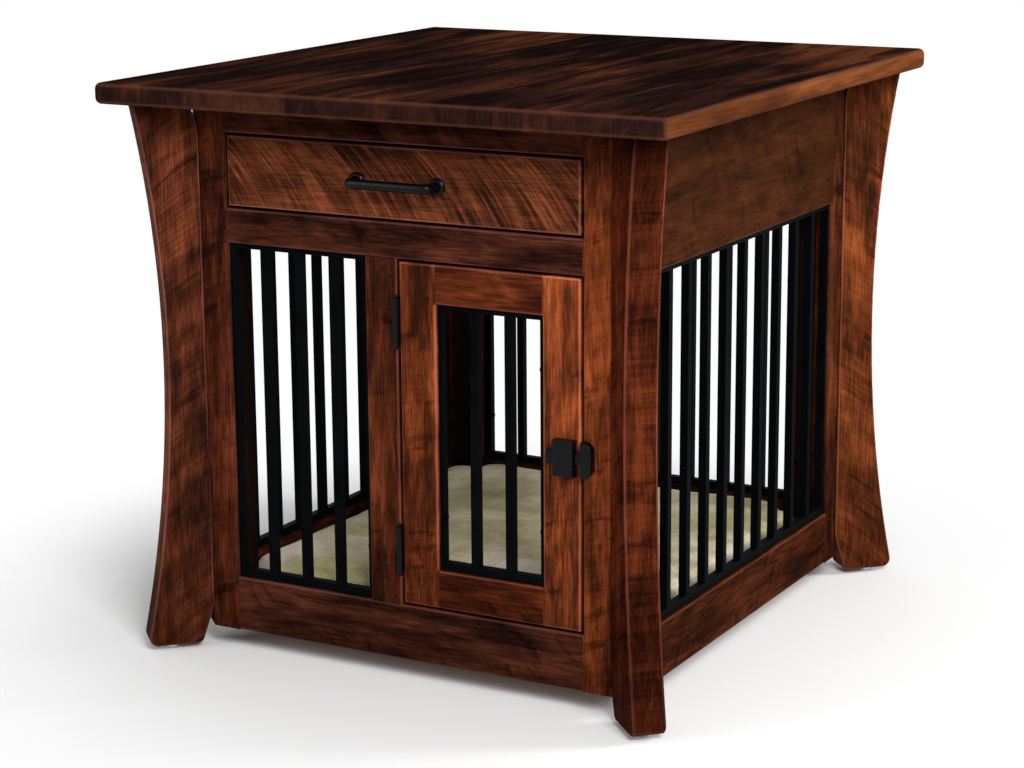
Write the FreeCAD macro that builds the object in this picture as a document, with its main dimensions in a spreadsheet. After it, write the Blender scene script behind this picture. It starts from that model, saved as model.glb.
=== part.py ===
import FreeCAD, Part
import math
import os
import re
import Sketcher
from FreeCAD import Placement, Rotation, Vector

# Dog crate end table.  +X is right, +Y is back, +Z is up.
# The origin is on the floor below the middle of the tabletop.  All sizes are millimetres.

SIZES = [
    # tabletop and overall
    ("overall_height", 665), ("top_width", 706), ("top_depth", 746), ("top_thick", 24),
    ("top_easing", 7), ("top_corner", 8),
    # case between the legs
    ("side_overhang", 70), ("end_overhang", 68), ("case_clearance", 25.5), ("frame_thick", 22),
    ("corner_clip", 22.5), ("post_front", 58), ("post_side", 53.5),
    ("bottom_rail_tall", 64.5), ("middle_rail_tall", 39.5), ("top_rail_tall", 32),
    ("drawer_opening", 85.5), ("centre_stile_wide", 40.5), ("front_window_wide", 181.75), ("easing", 3),
    ("moulding_centre", 1.2),
    # legs
    ("leg_thick", 38.1), ("leg_top_reach", 57), ("leg_waist_reach", 28), ("leg_waist_share", 0.53),
    ("leg_foot_corner", 10), ("leg_head_set", 9), ("leg_head_drop", 28), ("leg_head_bend", 60),
    ("leg_heel_corner", 8), ("leg_heel_height", 50),
    ("leg_heel_set", 15), ("leg_heel_bend", 60), ("leg_screw_low", 150), ("leg_screw_drop", 141),
    ("leg_screw_bite", 32), ("leg_screw_head_depth", 34),
    # glides
    ("glide_height", 6), ("glide_radius", 10), ("glide_nail_radius", 1.4), ("glide_nail_long", 15),
    ("glide_reach", 34), ("glide_rounding", 2.5),
    # grilles
    ("bar_size", 9.5), ("grille_head", 5.7), ("grille_recess", 5), ("grille_lap", 4.75), ("grille_clear", 0.3),
    ("front_bars", 3), ("door_bars", 2), ("side_bars", 9), ("back_bars", 8),
    # screws
    ("screw_radius", 1.7), ("screw_head_radius", 3.2), ("screw_head_tall", 1.6),
    ("short_screw_long", 22), ("grille_screw_inset", 60),
    ("leg_screw_radius", 2.4), ("leg_screw_head_radius", 5),
    # floor, pad and dust panel
    ("floor_panel_thick", 12), ("cleat_size", 12), ("panel_gap", 0.5),
    ("pad_edge_tall", 44), ("pad_crown", 8), ("pad_gap", 2.5), ("pad_draw", 5), ("pad_round", 14),
    ("pad_seat_gap", 0.3), ("dust_panel_thick", 6),
    # drawer
    ("drawer_reveal", 3), ("drawer_front_thick", 20), ("drawer_box_tall", 62), ("drawer_box_rise", 7),
    ("drawer_side_thick", 12), ("drawer_back_room", 120), ("drawer_bottom_thick", 5),
    ("drawer_bottom_rise", 8), ("drawer_groove", 5),
    # slides
    ("slide_wide", 12.7), ("slide_tall", 35), ("slide_tail_room", 14), ("slide_setback", 6),
    ("slide_sheet", 1.4), ("slide_air", 0.5), ("slide_middle_tall", 31.6), ("slide_inner_tall", 28.2),
    ("slide_middle_web_air", 0.6), ("packing_tall", 45),
    # door
    ("door_reveal", 3), ("door_stile_wide", 45.5), ("door_rail_tall", 43.5),
    # hinges
    ("hinge_tall", 54), ("hinge_foot_inset", 63), ("hinge_head_inset", 66.6), ("barrel_radius", 4),
    ("barrel_forward", 5), ("pin_radius", 1.5), ("pin_clear", 0.05), ("knuckle_gap", 0.2),
    ("leaf_thick", 1.3), ("leaf_wide", 18), ("ball_tip_radius", 2.3), ("ball_neck_tall", 0.5),
    ("hinge_screw_long", 16), ("hinge_screw_spread", 36),
    # pull
    ("pull_centres", 101.6), ("pull_projection", 30), ("pull_tall", 11.5), ("pull_deep", 8.5),
    ("pull_foot_radius", 9.5), ("pull_foot_thick", 3.5), ("pull_neck_radius", 5), ("pull_bar_spare", 0.3),
    ("pull_screw_radius", 2), ("pull_screw_bite", 9),
    # latch
    ("latch_wide", 24.5), ("latch_tall", 40), ("latch_proud", 10),
    ("latch_wall", 1.5), ("latch_setback", 4.5), ("latch_corner", 1.2), ("bolt_tall", 12),
    ("bolt_thick", 4), ("bolt_lift", 2), ("bolt_clear", 0.3), ("bolt_throw", 4.5),
    ("tab_reach", 10), ("tab_tall", 16), ("tab_rounding", 1.5), ("lug_thick", 2), ("lug_tall", 5),
    ("spring_radius", 0.85), ("spring_wire", 0.2), ("spring_long", 6.5), ("spring_pitch", 0.8),
    ("strike_wide", 13.2), ("strike_tall", 40), ("strike_proud", 9), ("strike_setback", 0.8),
    ("strike_pocket_tall", 15), ("strike_bend", 11),
    ("latch_screw_spread", 29), ("strike_screw_spread", 26), ("latch_screw_long", 14),
    # top fasteners
    ("top_cleat_wide", 20), ("top_cleat_tall", 12), ("top_screw_spread", 180),
]

doc = FreeCAD.newDocument("crate_table")
sheet = doc.addObject("Spreadsheet::Sheet", "Sizes")
for row, (alias, value) in enumerate(SIZES, start=1):
    sheet.set("A%d" % row, alias)
    sheet.set("B%d" % row, str(value))
    sheet.setAlias("B%d" % row, alias)
doc.recompute()

ALIASES = {alias for alias, value in SIZES}
WORD = re.compile(r"[a-z][a-z_]*")
NODES = {}
ALONG = {
    "x": Rotation(Vector(0, 0, 1), Vector(1, 0, 0)),
    "-x": Rotation(Vector(0, 0, 1), Vector(-1, 0, 0)),
    "y": Rotation(Vector(0, 0, 1), Vector(0, 1, 0)),
    "-y": Rotation(Vector(0, 0, 1), Vector(0, -1, 0)),
    "z": Rotation(),
    "-z": Rotation(Vector(0, 0, 1), Vector(0, 0, -1)),
}


# ---- helpers ---------------------------------------------------------------------------------

def size(name):
    """A driving size as a number."""
    return float(sheet.get(name))


def ex(text):
    """Turn the names of sizes in an expression into references to the sheet."""
    text = str(text)
    return WORD.sub(lambda m: "Sizes." + m.group(0) if m.group(0) in ALIASES else m.group(0), text)


def bind(obj, **formulas):
    for prop, text in formulas.items():
        obj.setExpression(prop, ex(text))


def place(obj, x=0, y=0, z=0, turn=None):
    """Put an object at a corner or centre given by expressions."""
    obj.Placement = Placement(Vector(), turn or Rotation())
    for axis, text in zip("xyz", (x, y, z)):
        obj.setExpression("Placement.Base." + axis, ex(text))
    return obj


def keep(label, obj):
    obj.Label = label
    NODES[label] = obj
    return obj


def origin_feature(body, role):
    return [f for f in body.Origin.OriginFeatures if f.Role == role][0]


def box(x, y, z, dx, dy, dz):
    solid = doc.addObject("Part::Box", "Block")
    bind(solid, Length=dx, Width=dy, Height=dz)
    return place(solid, x, y, z)


def rod(x, y, z, radius, length, along, turn=None):
    """A round rod from a point, along an axis."""
    solid = doc.addObject("Part::Cylinder", "Rod")
    bind(solid, Radius=radius, Height=length)
    return place(solid, x, y, z, turn or ALONG[along])


def cone(x, y, z, radius, end_radius, length, along):
    solid = doc.addObject("Part::Cone", "Taper")
    bind(solid, Radius1=radius, Radius2=end_radius, Height=length)
    return place(solid, x, y, z, ALONG[along])


def fuse(shapes):
    joined = doc.addObject("Part::MultiFuse", "Joined")
    joined.Shapes = shapes
    return joined


def group(shapes):
    together = doc.addObject("Part::Compound", "Group")
    together.Links = shapes
    return together


def cut(base, tools):
    """Cut several tools from one base."""
    tool = tools[0] if len(tools) == 1 else group(tools)
    result = doc.addObject("Part::Cut", "Cut")
    result.Base = base
    result.Tool = tool
    return result


def block_body(name, x, y, z, dx, dy, dz):
    """A sawn board: a body that starts as one block, placed at its lowest corner."""
    body = doc.addObject("PartDesign::Body", name)
    blank = body.newObject("PartDesign::AdditiveBox", "Blank")
    bind(blank, Length=dx, Width=dy, Height=dz)
    place(body, x, y, z)
    return body


def polygon(body, plane, points):
    """A closed outline on one of the body's planes, each corner placed by two expressions."""
    sketch = body.newObject("Sketcher::SketchObject", "Outline")
    sketch.AttachmentSupport = [(origin_feature(body, plane), "")]
    sketch.MapMode = "FlatFace"
    count = len(points)
    spots = [Vector(value_of(px), value_of(py), 0) for px, py in points]
    for i in range(count):
        sketch.addGeometry(Part.LineSegment(spots[i], spots[(i + 1) % count]), False)
    for i in range(count):
        sketch.addConstraint(Sketcher.Constraint("Coincident", i, 2, (i + 1) % count, 1))
    for i, (px, py) in enumerate(points):
        for kind, text, number in (("DistanceX", px, spots[i].x), ("DistanceY", py, spots[i].y)):
            index = sketch.addConstraint(Sketcher.Constraint(kind, -1, 1, i, 1, number))
            sketch.setExpression("Constraints[%d]" % index, ex(text))
    return sketch


def value_of(text):
    """The number that an expression of sizes gives, for a sketch's first guess."""
    scratch = doc.addObject("Part::Vertex", "Scratch")
    scratch.setExpression("X", ex(text))
    doc.recompute([scratch])
    number = scratch.X.Value
    doc.removeObject(scratch.Name)
    return number


def pad(body, sketch, length, midplane=False):
    feature = body.newObject("PartDesign::Pad", "Thickness")
    feature.Profile = (sketch, [""])
    feature.Midplane = midplane
    bind(feature, Length=length)
    return feature


def ease(body, radius, wanted):
    """Round the edges of a body that the test picks, by midpoint and direction."""
    doc.recompute()
    base = body.Tip
    names = []
    for number, edge in enumerate(base.Shape.Edges, start=1):
        first, last = edge.firstVertex().Point, edge.lastVertex().Point
        if wanted((first + last) * 0.5, last - first, base.Shape.BoundBox):
            names.append("Edge%d" % number)
    feature = body.newObject("PartDesign::Fillet", "Easing")
    feature.Base = (base, names)
    bind(feature, Radius=radius)
    return feature


def edge_cutter(x, y, z, tall, into_x, into_y):
    """What a moulding cutter takes off an upright edge, over one opening's height.
    The two signs say on which sides of the edge the wood is."""
    blank = box("%s + (%d * 0.3 - 0.8) * easing" % (x, into_x), "%s + (%d * 0.3 - 0.8) * easing" % (y, into_y),
                z, "1.6 * easing", "1.6 * easing", tall)
    wood = rod("%s + %d * moulding_centre * easing" % (x, into_x),
               "%s + %d * moulding_centre * easing" % (y, into_y), "%s - 1" % z,
               "easing * sqrt(moulding_centre^2 + (moulding_centre - 1)^2)", "%s + 2" % tall, "z")
    return cut(blank, [wood])


def near(a, b):
    return abs(a - b) < 1e-4


def pan_screw(x, y, z, along, length, radius="screw_radius", head="screw_head_radius",
              head_tall="screw_head_tall"):
    """A round screw with a flat round head.  The point is where the head bears."""
    opposite = along[1:] if along.startswith("-") else "-" + along
    return fuse([rod(x, y, z, radius, length, along), rod(x, y, z, head, head_tall, opposite)])


def flush_screw(x, y, z, along, length, head_depth):
    """A countersunk screw.  The point is the middle of its flat head."""
    return fuse([rod(x, y, z, "screw_radius", length, along),
                 cone(x, y, z, "screw_head_radius - 0.4", "screw_radius", head_depth, along)])


# ---- places shared by several pieces ----------------------------------------------------------

TOP_UNDERSIDE = "(overall_height - top_thick)"
RIGHT = "(top_width / 2 - side_overhang)"
BACK = "(top_depth / 2 - end_overhang)"
OPENING_X = "(top_width / 2 - side_overhang - post_front)"
OPENING_Y = "(top_depth / 2 - end_overhang - post_side)"
CRATE_LOW = "(case_clearance + bottom_rail_tall)"
DRAWER_HIGH = "(overall_height - top_thick - top_rail_tall)"
DRAWER_LOW = "(overall_height - top_thick - top_rail_tall - drawer_opening)"
CRATE_HIGH = "(overall_height - top_thick - top_rail_tall - drawer_opening - middle_rail_tall)"
CRATE_OPEN = "(%s - %s)" % (CRATE_HIGH, CRATE_LOW)
CASE_TALL = "(overall_height - top_thick - case_clearance)"
STILE_LEFT = "(front_window_wide - %s)" % OPENING_X
STILE_RIGHT = "(front_window_wide + centre_stile_wide - %s)" % OPENING_X
CORNERS = [("front_left", -1, -1), ("front_right", 1, -1), ("back_left", -1, 1), ("back_right", 1, 1)]


# ---- tabletop --------------------------------------------------------------------------------

slab = block_body("TabletopBody", "-top_width / 2", "-top_depth / 2", TOP_UNDERSIDE,
                  "top_width", "top_depth", "top_thick")
ease(slab, "top_corner", lambda mid, way, bb: abs(way.z) > 1)
ease(slab, "top_easing", lambda mid, way, bb: near(mid.z, bb.ZMin) or near(mid.z, bb.ZMax))

cleats = []
short_screws = []
screw_holes = []
for side in (-1, 1):
    # a cleat along the top of each side apron, screwed up into the slab
    x = "%d * (%s - frame_thick - top_cleat_wide / 2)" % (side, RIGHT)
    cleat_z = "%s - top_cleat_tall" % TOP_UNDERSIDE
    cleat = box("%s - top_cleat_wide / 2" % x, "-%s" % OPENING_Y, cleat_z,
                "top_cleat_wide", "2 * %s" % OPENING_Y, "top_cleat_tall")
    bores = []
    for step in (-1, 0, 1):
        y = "%d * top_screw_spread" % step
        short_screws.append(pan_screw(x, y, cleat_z, "z", "short_screw_long"))
        bores.append(rod(x, y, cleat_z, "screw_radius", "short_screw_long", "z"))
        screw_holes.append(rod(x, y, cleat_z, "screw_radius", "short_screw_long", "z"))
    cleats.append(cut(cleat, bores))
keep("top_cleats", group(cleats))
keep("tabletop", cut(slab, screw_holes))


# ---- legs, glides and corner posts ------------------------------------------------------------

# The outer edge of a leg is one arc, narrowest at the waist.
WAIST_Z = "(leg_waist_share * %s)" % TOP_UNDERSIDE
ARC = "(((leg_top_reach - leg_waist_reach)^2 + (%s - %s)^2) / 2" \
      " / (leg_top_reach - leg_waist_reach))" % (TOP_UNDERSIDE, WAIST_Z)
INNER_EDGE = "(-corner_clip / sqrt(2))"
POST_DIAGONAL = "(post_side * sqrt(2))"

leg_screws = []
glides = []
for name, sx, sy in CORNERS:
    angle = math.degrees(math.atan2(sy, sx))
    turn = Rotation(Vector(0, 0, 1), angle)
    corner_x, corner_y = "%d * %s" % (sx, RIGHT), "%d * %s" % (sy, BACK)

    # leg: a plank whose plane runs out along the diagonal
    leg = doc.addObject("PartDesign::Body", "LegBody")
    sketch = leg.newObject("Sketcher::SketchObject", "Outline")
    sketch.AttachmentSupport = [(origin_feature(leg, "XZ_Plane"), "")]
    sketch.MapMode = "FlatFace"
    inner, low, high = value_of(INNER_EDGE), size("glide_height"), value_of(TOP_UNDERSIDE)
    reach, waist, waist_z = size("leg_top_reach"), size("leg_waist_reach"), value_of(WAIST_Z)
    radius = value_of(ARC)
    foot = waist + radius - math.sqrt(radius ** 2 - (waist_z - low) ** 2)
    heel, heel_z = inner + size("leg_heel_set"), size("leg_heel_height")
    head_x, shoulder_z = inner + size("leg_head_set"), high - size("leg_head_drop")
    head, shoulder = Vector(head_x, high, 0), Vector(inner, shoulder_z, 0)
    bend = Vector(inner, heel_z, 0)
    toe, sole = Vector(foot, low, 0), Vector(heel, low, 0)
    sketch.addGeometry(Part.LineSegment(sole, toe), False)
    sketch.addGeometry(Part.Arc(Vector(reach, high, 0), Vector(waist, waist_z, 0), toe), False)
    sketch.addGeometry(Part.LineSegment(Vector(reach, high, 0), head), False)
    sketch.addGeometry(Part.LineSegment(head, shoulder), False)
    sketch.addGeometry(Part.LineSegment(shoulder, bend), False)
    sketch.addGeometry(Part.LineSegment(bend, sole), False)
    for first, first_end, second, second_end in ((0, 2, 1, 2), (1, 1, 2, 1), (2, 2, 3, 1), (3, 2, 4, 1),
                                                 (4, 2, 5, 1), (5, 2, 0, 1)):
        sketch.addConstraint(Sketcher.Constraint("Coincident", first, first_end, second, second_end))
    sketch.addConstraint(Sketcher.Constraint("Horizontal", 0))
    sketch.addConstraint(Sketcher.Constraint("Vertical", 4))
    for kind, geo, spot, text, number in (
            ("DistanceX", 0, 1, INNER_EDGE + " + leg_heel_set", heel), ("DistanceY", 0, 1, "glide_height", low),
            ("DistanceX", 3, 1, INNER_EDGE + " + leg_head_set", head_x), ("DistanceY", 3, 1, TOP_UNDERSIDE, high),
            ("DistanceX", 4, 1, INNER_EDGE, inner),
            ("DistanceY", 4, 1, TOP_UNDERSIDE + " - leg_head_drop", shoulder_z),
            ("DistanceY", 5, 1, "leg_heel_height", heel_z), ("DistanceX", 2, 1, "leg_top_reach", reach),
            ("DistanceY", 2, 1, TOP_UNDERSIDE, high),
            ("DistanceX", 1, 3, "leg_waist_reach + " + ARC, waist + radius),
            ("DistanceY", 1, 3, WAIST_Z, waist_z)):
        index = sketch.addConstraint(Sketcher.Constraint(kind, -1, 1, geo, spot, number))
        sketch.setExpression("Constraints[%d]" % index, ex(text))
    pad(leg, sketch, "leg_thick", midplane=True)
    place(leg, corner_x, corner_y, 0, turn)
    ease(leg, "leg_foot_corner", lambda mid, way, bb: abs(way.y) > 1 and near(mid.z, bb.ZMin)
         and near(mid.x, foot))
    ease(leg, "leg_heel_corner", lambda mid, way, bb: abs(way.y) > 1 and near(mid.z, bb.ZMin)
         and near(mid.x, heel))
    ease(leg, "leg_heel_bend", lambda mid, way, bb: abs(way.y) > 1 and near(mid.z, heel_z)
         and near(mid.x, inner))
    ease(leg, "leg_head_bend", lambda mid, way, bb: abs(way.y) > 1 and near(mid.z, shoulder_z)
         and near(mid.x, inner))
    ease(leg, "easing", lambda mid, way, bb: abs(way.y) < 0.01 and abs(mid.y) > 1
         and not near(mid.z, bb.ZMax))

    # post: a square corner post with its outer corner clipped and a rebate for each grille
    post = doc.addObject("PartDesign::Body", "PostBody")
    front, side, lap, lip = "post_front", "post_side", "grille_lap", "grille_recess"
    section = [("corner_clip", "0"), (front, "0"), (front, lip), (front + " - " + lap, lip),
               (front + " - " + lap, side + " - " + lap), (lip, side + " - " + lap), (lip, side),
               ("0", side), ("0", "corner_clip")]
    outline = [("%d * (%s)" % (-sx, u), "%d * (%s)" % (-sy, v)) for u, v in section]
    pad(post, polygon(post, "XY_Plane", outline), CASE_TALL)
    place(post, corner_x, corner_y, "case_clearance")
    face_x, face_y = "%d * %s" % (sx, OPENING_X), "%d * %s" % (sy, OPENING_Y)
    mouldings = [edge_cutter(corner_x, face_y, CRATE_LOW, CRATE_OPEN, -sx, sy),
                 edge_cutter(face_x, corner_y, CRATE_LOW, CRATE_OPEN, sx, -sy)]
    if sy < 0:
        mouldings.append(edge_cutter(face_x, corner_y, DRAWER_LOW, "drawer_opening", sx, -sy))

    # two long screws from inside each post into its leg, their heads in deep counterbores
    leg_bores = []
    post_bores = mouldings
    diagonal = Vector(sx, sy, 0).normalize()
    outward = Rotation(Vector(0, 0, 1), diagonal)
    for z in ("leg_screw_low", "%s - leg_screw_drop" % TOP_UNDERSIDE):
        deep = "(leg_screw_head_depth / sqrt(2))"
        x, y = "%s - %d * %s" % (corner_x, sx, deep), "%s - %d * %s" % (corner_y, sy, deep)
        length = "leg_screw_head_depth - corner_clip / sqrt(2) + leg_screw_bite"
        head = rod(x, y, z, "leg_screw_head_radius", "screw_head_tall", None,
                   Rotation(Vector(0, 0, 1), diagonal * -1))
        shank = rod(x, y, z, "leg_screw_radius", length, None, outward)
        leg_screws.append(fuse([shank, head]))
        leg_bores.append(rod(x, y, z, "leg_screw_radius", length, None, outward))
        post_bores.append(rod(x, y, z, "leg_screw_radius", length, None, outward))
        post_bores.append(rod(x, y, z, "leg_screw_head_radius + 0.5", POST_DIAGONAL, None,
                              Rotation(Vector(0, 0, 1), diagonal * -1)))

    # glide: a domed foot nailed into the end grain of the leg
    gx = "%s + %d * glide_reach / sqrt(2)" % (corner_x, sx)
    gy = "%s + %d * glide_reach / sqrt(2)" % (corner_y, sy)
    disc = doc.addObject("PartDesign::Body", "GlideBody")
    button = disc.newObject("PartDesign::AdditiveCylinder", "Button")
    bind(button, Radius="glide_radius", Height="glide_height")
    place(disc, gx, gy, 0)
    ease(disc, "glide_rounding", lambda mid, way, bb: near(mid.z, bb.ZMin))
    glides.append(fuse([disc, rod(gx, gy, "glide_height", "glide_nail_radius", "glide_nail_long", "z")]))
    leg_bores.append(rod(gx, gy, "glide_height", "glide_nail_radius", "glide_nail_long", "z"))

    keep("leg_" + name, cut(leg, leg_bores))
    NODES["post_" + name] = (post, post_bores)
keep("leg_screws", group(leg_screws))
keep("glides", group(glides))


# ---- grilles ----------------------------------------------------------------------------------

def grille(label, x, y, z, wide, tall, bars, across="x"):
    """A welded grille: a square-bar rim with a thinner head, and upright square bars, equally spaced."""
    body = doc.addObject("PartDesign::Body", "GrilleBody")
    blank = body.newObject("PartDesign::AdditiveBox", "Blank")
    if across == "x":
        bind(blank, Length=wide, Width="bar_size", Height=tall)
    else:
        bind(blank, Length="bar_size", Width=wide, Height=tall)
    pitch = "((%s - bar_size) / (%s + 1))" % (wide, bars)
    gap = body.newObject("PartDesign::SubtractiveBox", "Gap")
    if across == "x":
        bind(gap, Length="%s - bar_size" % pitch, Width="bar_size * 3", Height="%s - bar_size - grille_head" % tall)
        place(gap, "bar_size", "-bar_size", "bar_size")
    else:
        bind(gap, Length="bar_size * 3", Width="%s - bar_size" % pitch, Height="%s - bar_size - grille_head" % tall)
        place(gap, "-bar_size", "bar_size", "bar_size")
    row = body.newObject("PartDesign::LinearPattern", "Gaps")
    row.Originals = [gap]
    row.Direction = (origin_feature(body, "X_Axis" if across == "x" else "Y_Axis"), [""])
    bind(row, Length="%s * %s" % (pitch, bars), Occurrences="%s + 1" % bars)
    body.Tip = row
    place(body, x, y, z)
    return body


def rim_screws(x_low, x_high, y_low, y_high, z_low, z_high, across):
    """Four screws out through a grille's two upright rims into the wood beside it."""
    found = []
    for low_side in (True, False):
        for z in ("%s + grille_screw_inset" % z_low, "%s - grille_screw_inset" % z_high):
            if across == "x":
                x = "%s + bar_size" % x_low if low_side else "%s - bar_size" % x_high
                found.append((x, y_low, z, "-x" if low_side else "x"))
            else:
                y = "%s + bar_size" % y_low if low_side else "%s - bar_size" % y_high
                found.append((x_low, y, z, "-y" if low_side else "y"))
    return found


DEEP = "(grille_recess + bar_size / 2)"
GRILLE_LOW = "(%s + grille_clear)" % CRATE_LOW
GRILLE_TALL = "(%s - 2 * grille_clear)" % CRATE_OPEN
GRILLE_HIGH = "(%s + %s)" % (GRILLE_LOW, GRILLE_TALL)
FRONT_X0 = "(-%s - grille_lap + grille_clear)" % OPENING_X
FRONT_X1 = "(%s + grille_lap - grille_clear)" % STILE_LEFT
BACK_X1 = "(%s + grille_lap - grille_clear)" % OPENING_X
SIDE_Y1 = "(%s + grille_lap - grille_clear)" % OPENING_Y

GRILLES = [
    # label, x, y, width along, bars, direction, lowest and highest end
    ("front_grille", FRONT_X0, "-%s + grille_recess" % BACK, "(%s - %s)" % (FRONT_X1, FRONT_X0),
     "front_bars", "x", FRONT_X0, FRONT_X1, "-%s + %s" % (BACK, DEEP)),
    ("back_grille", "-" + BACK_X1, "%s - grille_recess - bar_size" % BACK, "(2 * %s)" % BACK_X1,
     "back_bars", "x", "-" + BACK_X1, BACK_X1, "%s - %s" % (BACK, DEEP)),
    ("left_grille", "-%s + grille_recess" % RIGHT, "-" + SIDE_Y1, "(2 * %s)" % SIDE_Y1,
     "side_bars", "y", "-" + SIDE_Y1, SIDE_Y1, "-%s + %s" % (RIGHT, DEEP)),
    ("right_grille", "%s - grille_recess - bar_size" % RIGHT, "-" + SIDE_Y1, "(2 * %s)" % SIDE_Y1,
     "side_bars", "y", "-" + SIDE_Y1, SIDE_Y1, "%s - %s" % (RIGHT, DEEP)),
]
wood_bores = {"front": [], "back": [], "left": [], "right": []}
for label, x, y, wide, bars, across, low_end, high_end, middle in GRILLES:
    body = grille(label, x, y, GRILLE_LOW, wide, GRILLE_TALL, bars, across)
    if across == "x":
        spots = rim_screws(low_end, high_end, middle, middle, GRILLE_LOW, GRILLE_HIGH, "x")
    else:
        spots = rim_screws(middle, middle, low_end, high_end, GRILLE_LOW, GRILLE_HIGH, "y")
    bores = []
    for sx, sy, sz, along in spots:
        short_screws.append(pan_screw(sx, sy, sz, along, "short_screw_long"))
        bores.append(rod(sx, sy, sz, "screw_radius", "short_screw_long", along))
        wood_bores[label.split("_")[0]].append(
            (along, rod(sx, sy, sz, "screw_radius", "short_screw_long", along)))
    keep(label, cut(body, bores))
keep("short_screws", group(short_screws))

# each post takes the screws of the two grilles that meet it
POST_TAKES = {
    "post_front_left": [("front", "-x"), ("left", "-y")],
    "post_front_right": [("right", "-y")],
    "post_back_left": [("back", "-x"), ("left", "y")],
    "post_back_right": [("back", "x"), ("right", "y")],
}


# ---- face frame -------------------------------------------------------------------------------

def rail(name, x, y, z, length, tall, inward, across="x"):
    """A rail between two posts: its face butts the posts' lips, its back laps behind them."""
    body = doc.addObject("PartDesign::Body", name)
    lap, lip, thick = "grille_lap", "grille_recess", "frame_thick"
    along = [("0", "0"), (length, "0"), (length, lip), ("%s + %s" % (length, lap), lip),
             ("%s + %s" % (length, lap), thick), ("-" + lap, thick), ("-" + lap, lip), ("0", lip)]
    if across == "x":
        outline = [(u, "%d * (%s)" % (inward, v)) for u, v in along]
    else:
        outline = [("%d * (%s)" % (inward, v), u) for u, v in along]
    pad(body, polygon(body, "XY_Plane", outline), tall)
    place(body, x, y, z)
    return body


def face_edge(inward, high, low, across="x"):
    """Picks the long outer edges of a rail at its top and or bottom."""
    def wanted(mid, way, bb):
        long_way = abs(way.x) if across == "x" else abs(way.y)
        depth = mid.y if across == "x" else mid.x
        if long_way < 10 or not near(depth, 0):
            return False
        return (high and near(mid.z, bb.ZMax)) or (low and near(mid.z, bb.ZMin))
    return wanted


FRAME_LONG = "(2 * %s)" % OPENING_X
SIDE_LONG = "(2 * %s)" % OPENING_Y
APRON_TALL = "(%s - %s)" % (TOP_UNDERSIDE, CRATE_HIGH)

top_rail = rail("FrontTopRail", "-" + OPENING_X, "-" + BACK, DRAWER_HIGH, FRAME_LONG,
                "top_rail_tall", 1)
ease(top_rail, "easing", face_edge(1, False, True))
keep("front_top_rail", top_rail)

middle_rail = rail("FrontMiddleRail", "-" + OPENING_X, "-" + BACK, CRATE_HIGH, FRAME_LONG,
                   "middle_rail_tall", 1)
ease(middle_rail, "easing", face_edge(1, True, True))
keep("front_middle_rail", middle_rail)

bottom_rail = rail("FrontBottomRail", "-" + OPENING_X, "-" + BACK, "case_clearance", FRAME_LONG,
                   "bottom_rail_tall", 1)
ease(bottom_rail, "easing", face_edge(1, True, True))
keep("front_bottom_rail", bottom_rail)

# the centre stile stands between the middle and bottom rails, rebated on its grille side
centre_stile = doc.addObject("PartDesign::Body", "CentreStile")
pad(centre_stile, polygon(centre_stile, "XY_Plane", [
    ("0", "0"), ("centre_stile_wide", "0"), ("centre_stile_wide", "frame_thick"),
    ("grille_lap", "frame_thick"), ("grille_lap", "grille_recess"), ("0", "grille_recess")]),
    CRATE_OPEN)
place(centre_stile, STILE_LEFT, "-" + BACK, CRATE_LOW)
ease(centre_stile, "easing", lambda mid, way, bb: abs(way.z) > 10 and near(mid.y, 0))

for label, side in (("left", -1), ("right", 1)):
    x = "%d * %s" % (side, RIGHT)
    apron = rail("SideApron", x, "-" + OPENING_Y, CRATE_HIGH, SIDE_LONG, APRON_TALL, -side, "y")
    ease(apron, "easing", face_edge(-side, False, True, "y"))
    keep(label + "_apron", apron)
    low_rail = rail("SideBottomRail", x, "-" + OPENING_Y, "case_clearance", SIDE_LONG,
                    "bottom_rail_tall", -side, "y")
    ease(low_rail, "easing", face_edge(-side, True, True, "y"))
    keep(label + "_bottom_rail", low_rail)

back_apron = rail("BackApron", "-" + OPENING_X, BACK, CRATE_HIGH, FRAME_LONG, APRON_TALL, -1)
ease(back_apron, "easing", face_edge(-1, False, True))
keep("back_apron", back_apron)
back_rail = rail("BackBottomRail", "-" + OPENING_X, BACK, "case_clearance", FRAME_LONG,
                 "bottom_rail_tall", -1)
ease(back_rail, "easing", face_edge(-1, True, True))
keep("back_bottom_rail", back_rail)


# ---- floor, pad and dust panel ----------------------------------------------------------------

CLEAT_TOP = "(case_clearance + cleat_size)"
FLOOR_TOP = "(case_clearance + cleat_size + floor_panel_thick)"
INSIDE_X = "(%s - frame_thick)" % RIGHT
INSIDE_Y = "(%s - frame_thick)" % BACK


def notched_panel(name, z, thick):
    """A panel that fills the case and is notched round the four posts."""
    body = doc.addObject("PartDesign::Body", name)
    wide, deep = "(%s - panel_gap)" % INSIDE_X, "(%s - panel_gap)" % INSIDE_Y
    notch_x = "(%s - panel_gap)" % OPENING_X
    notch_y = "(%s - panel_gap)" % OPENING_Y
    quarter = [(notch_x, deep), (notch_x, notch_y), (wide, notch_y)]
    outline = []
    for sx, sy, points in ((1, 1, quarter), (1, -1, quarter[::-1]), (-1, -1, quarter),
                           (-1, 1, quarter[::-1])):
        outline += [("%d * %s" % (sx, u), "%d * %s" % (sy, v)) for u, v in points]
    pad(body, polygon(body, "XY_Plane", outline), thick)
    return place(body, 0, 0, z)


keep("floor_panel", notched_panel("FloorPanel", CLEAT_TOP, "floor_panel_thick"))
keep("dust_panel", notched_panel("DustPanel", "%s - dust_panel_thick" % DRAWER_LOW, "dust_panel_thick"))

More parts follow.
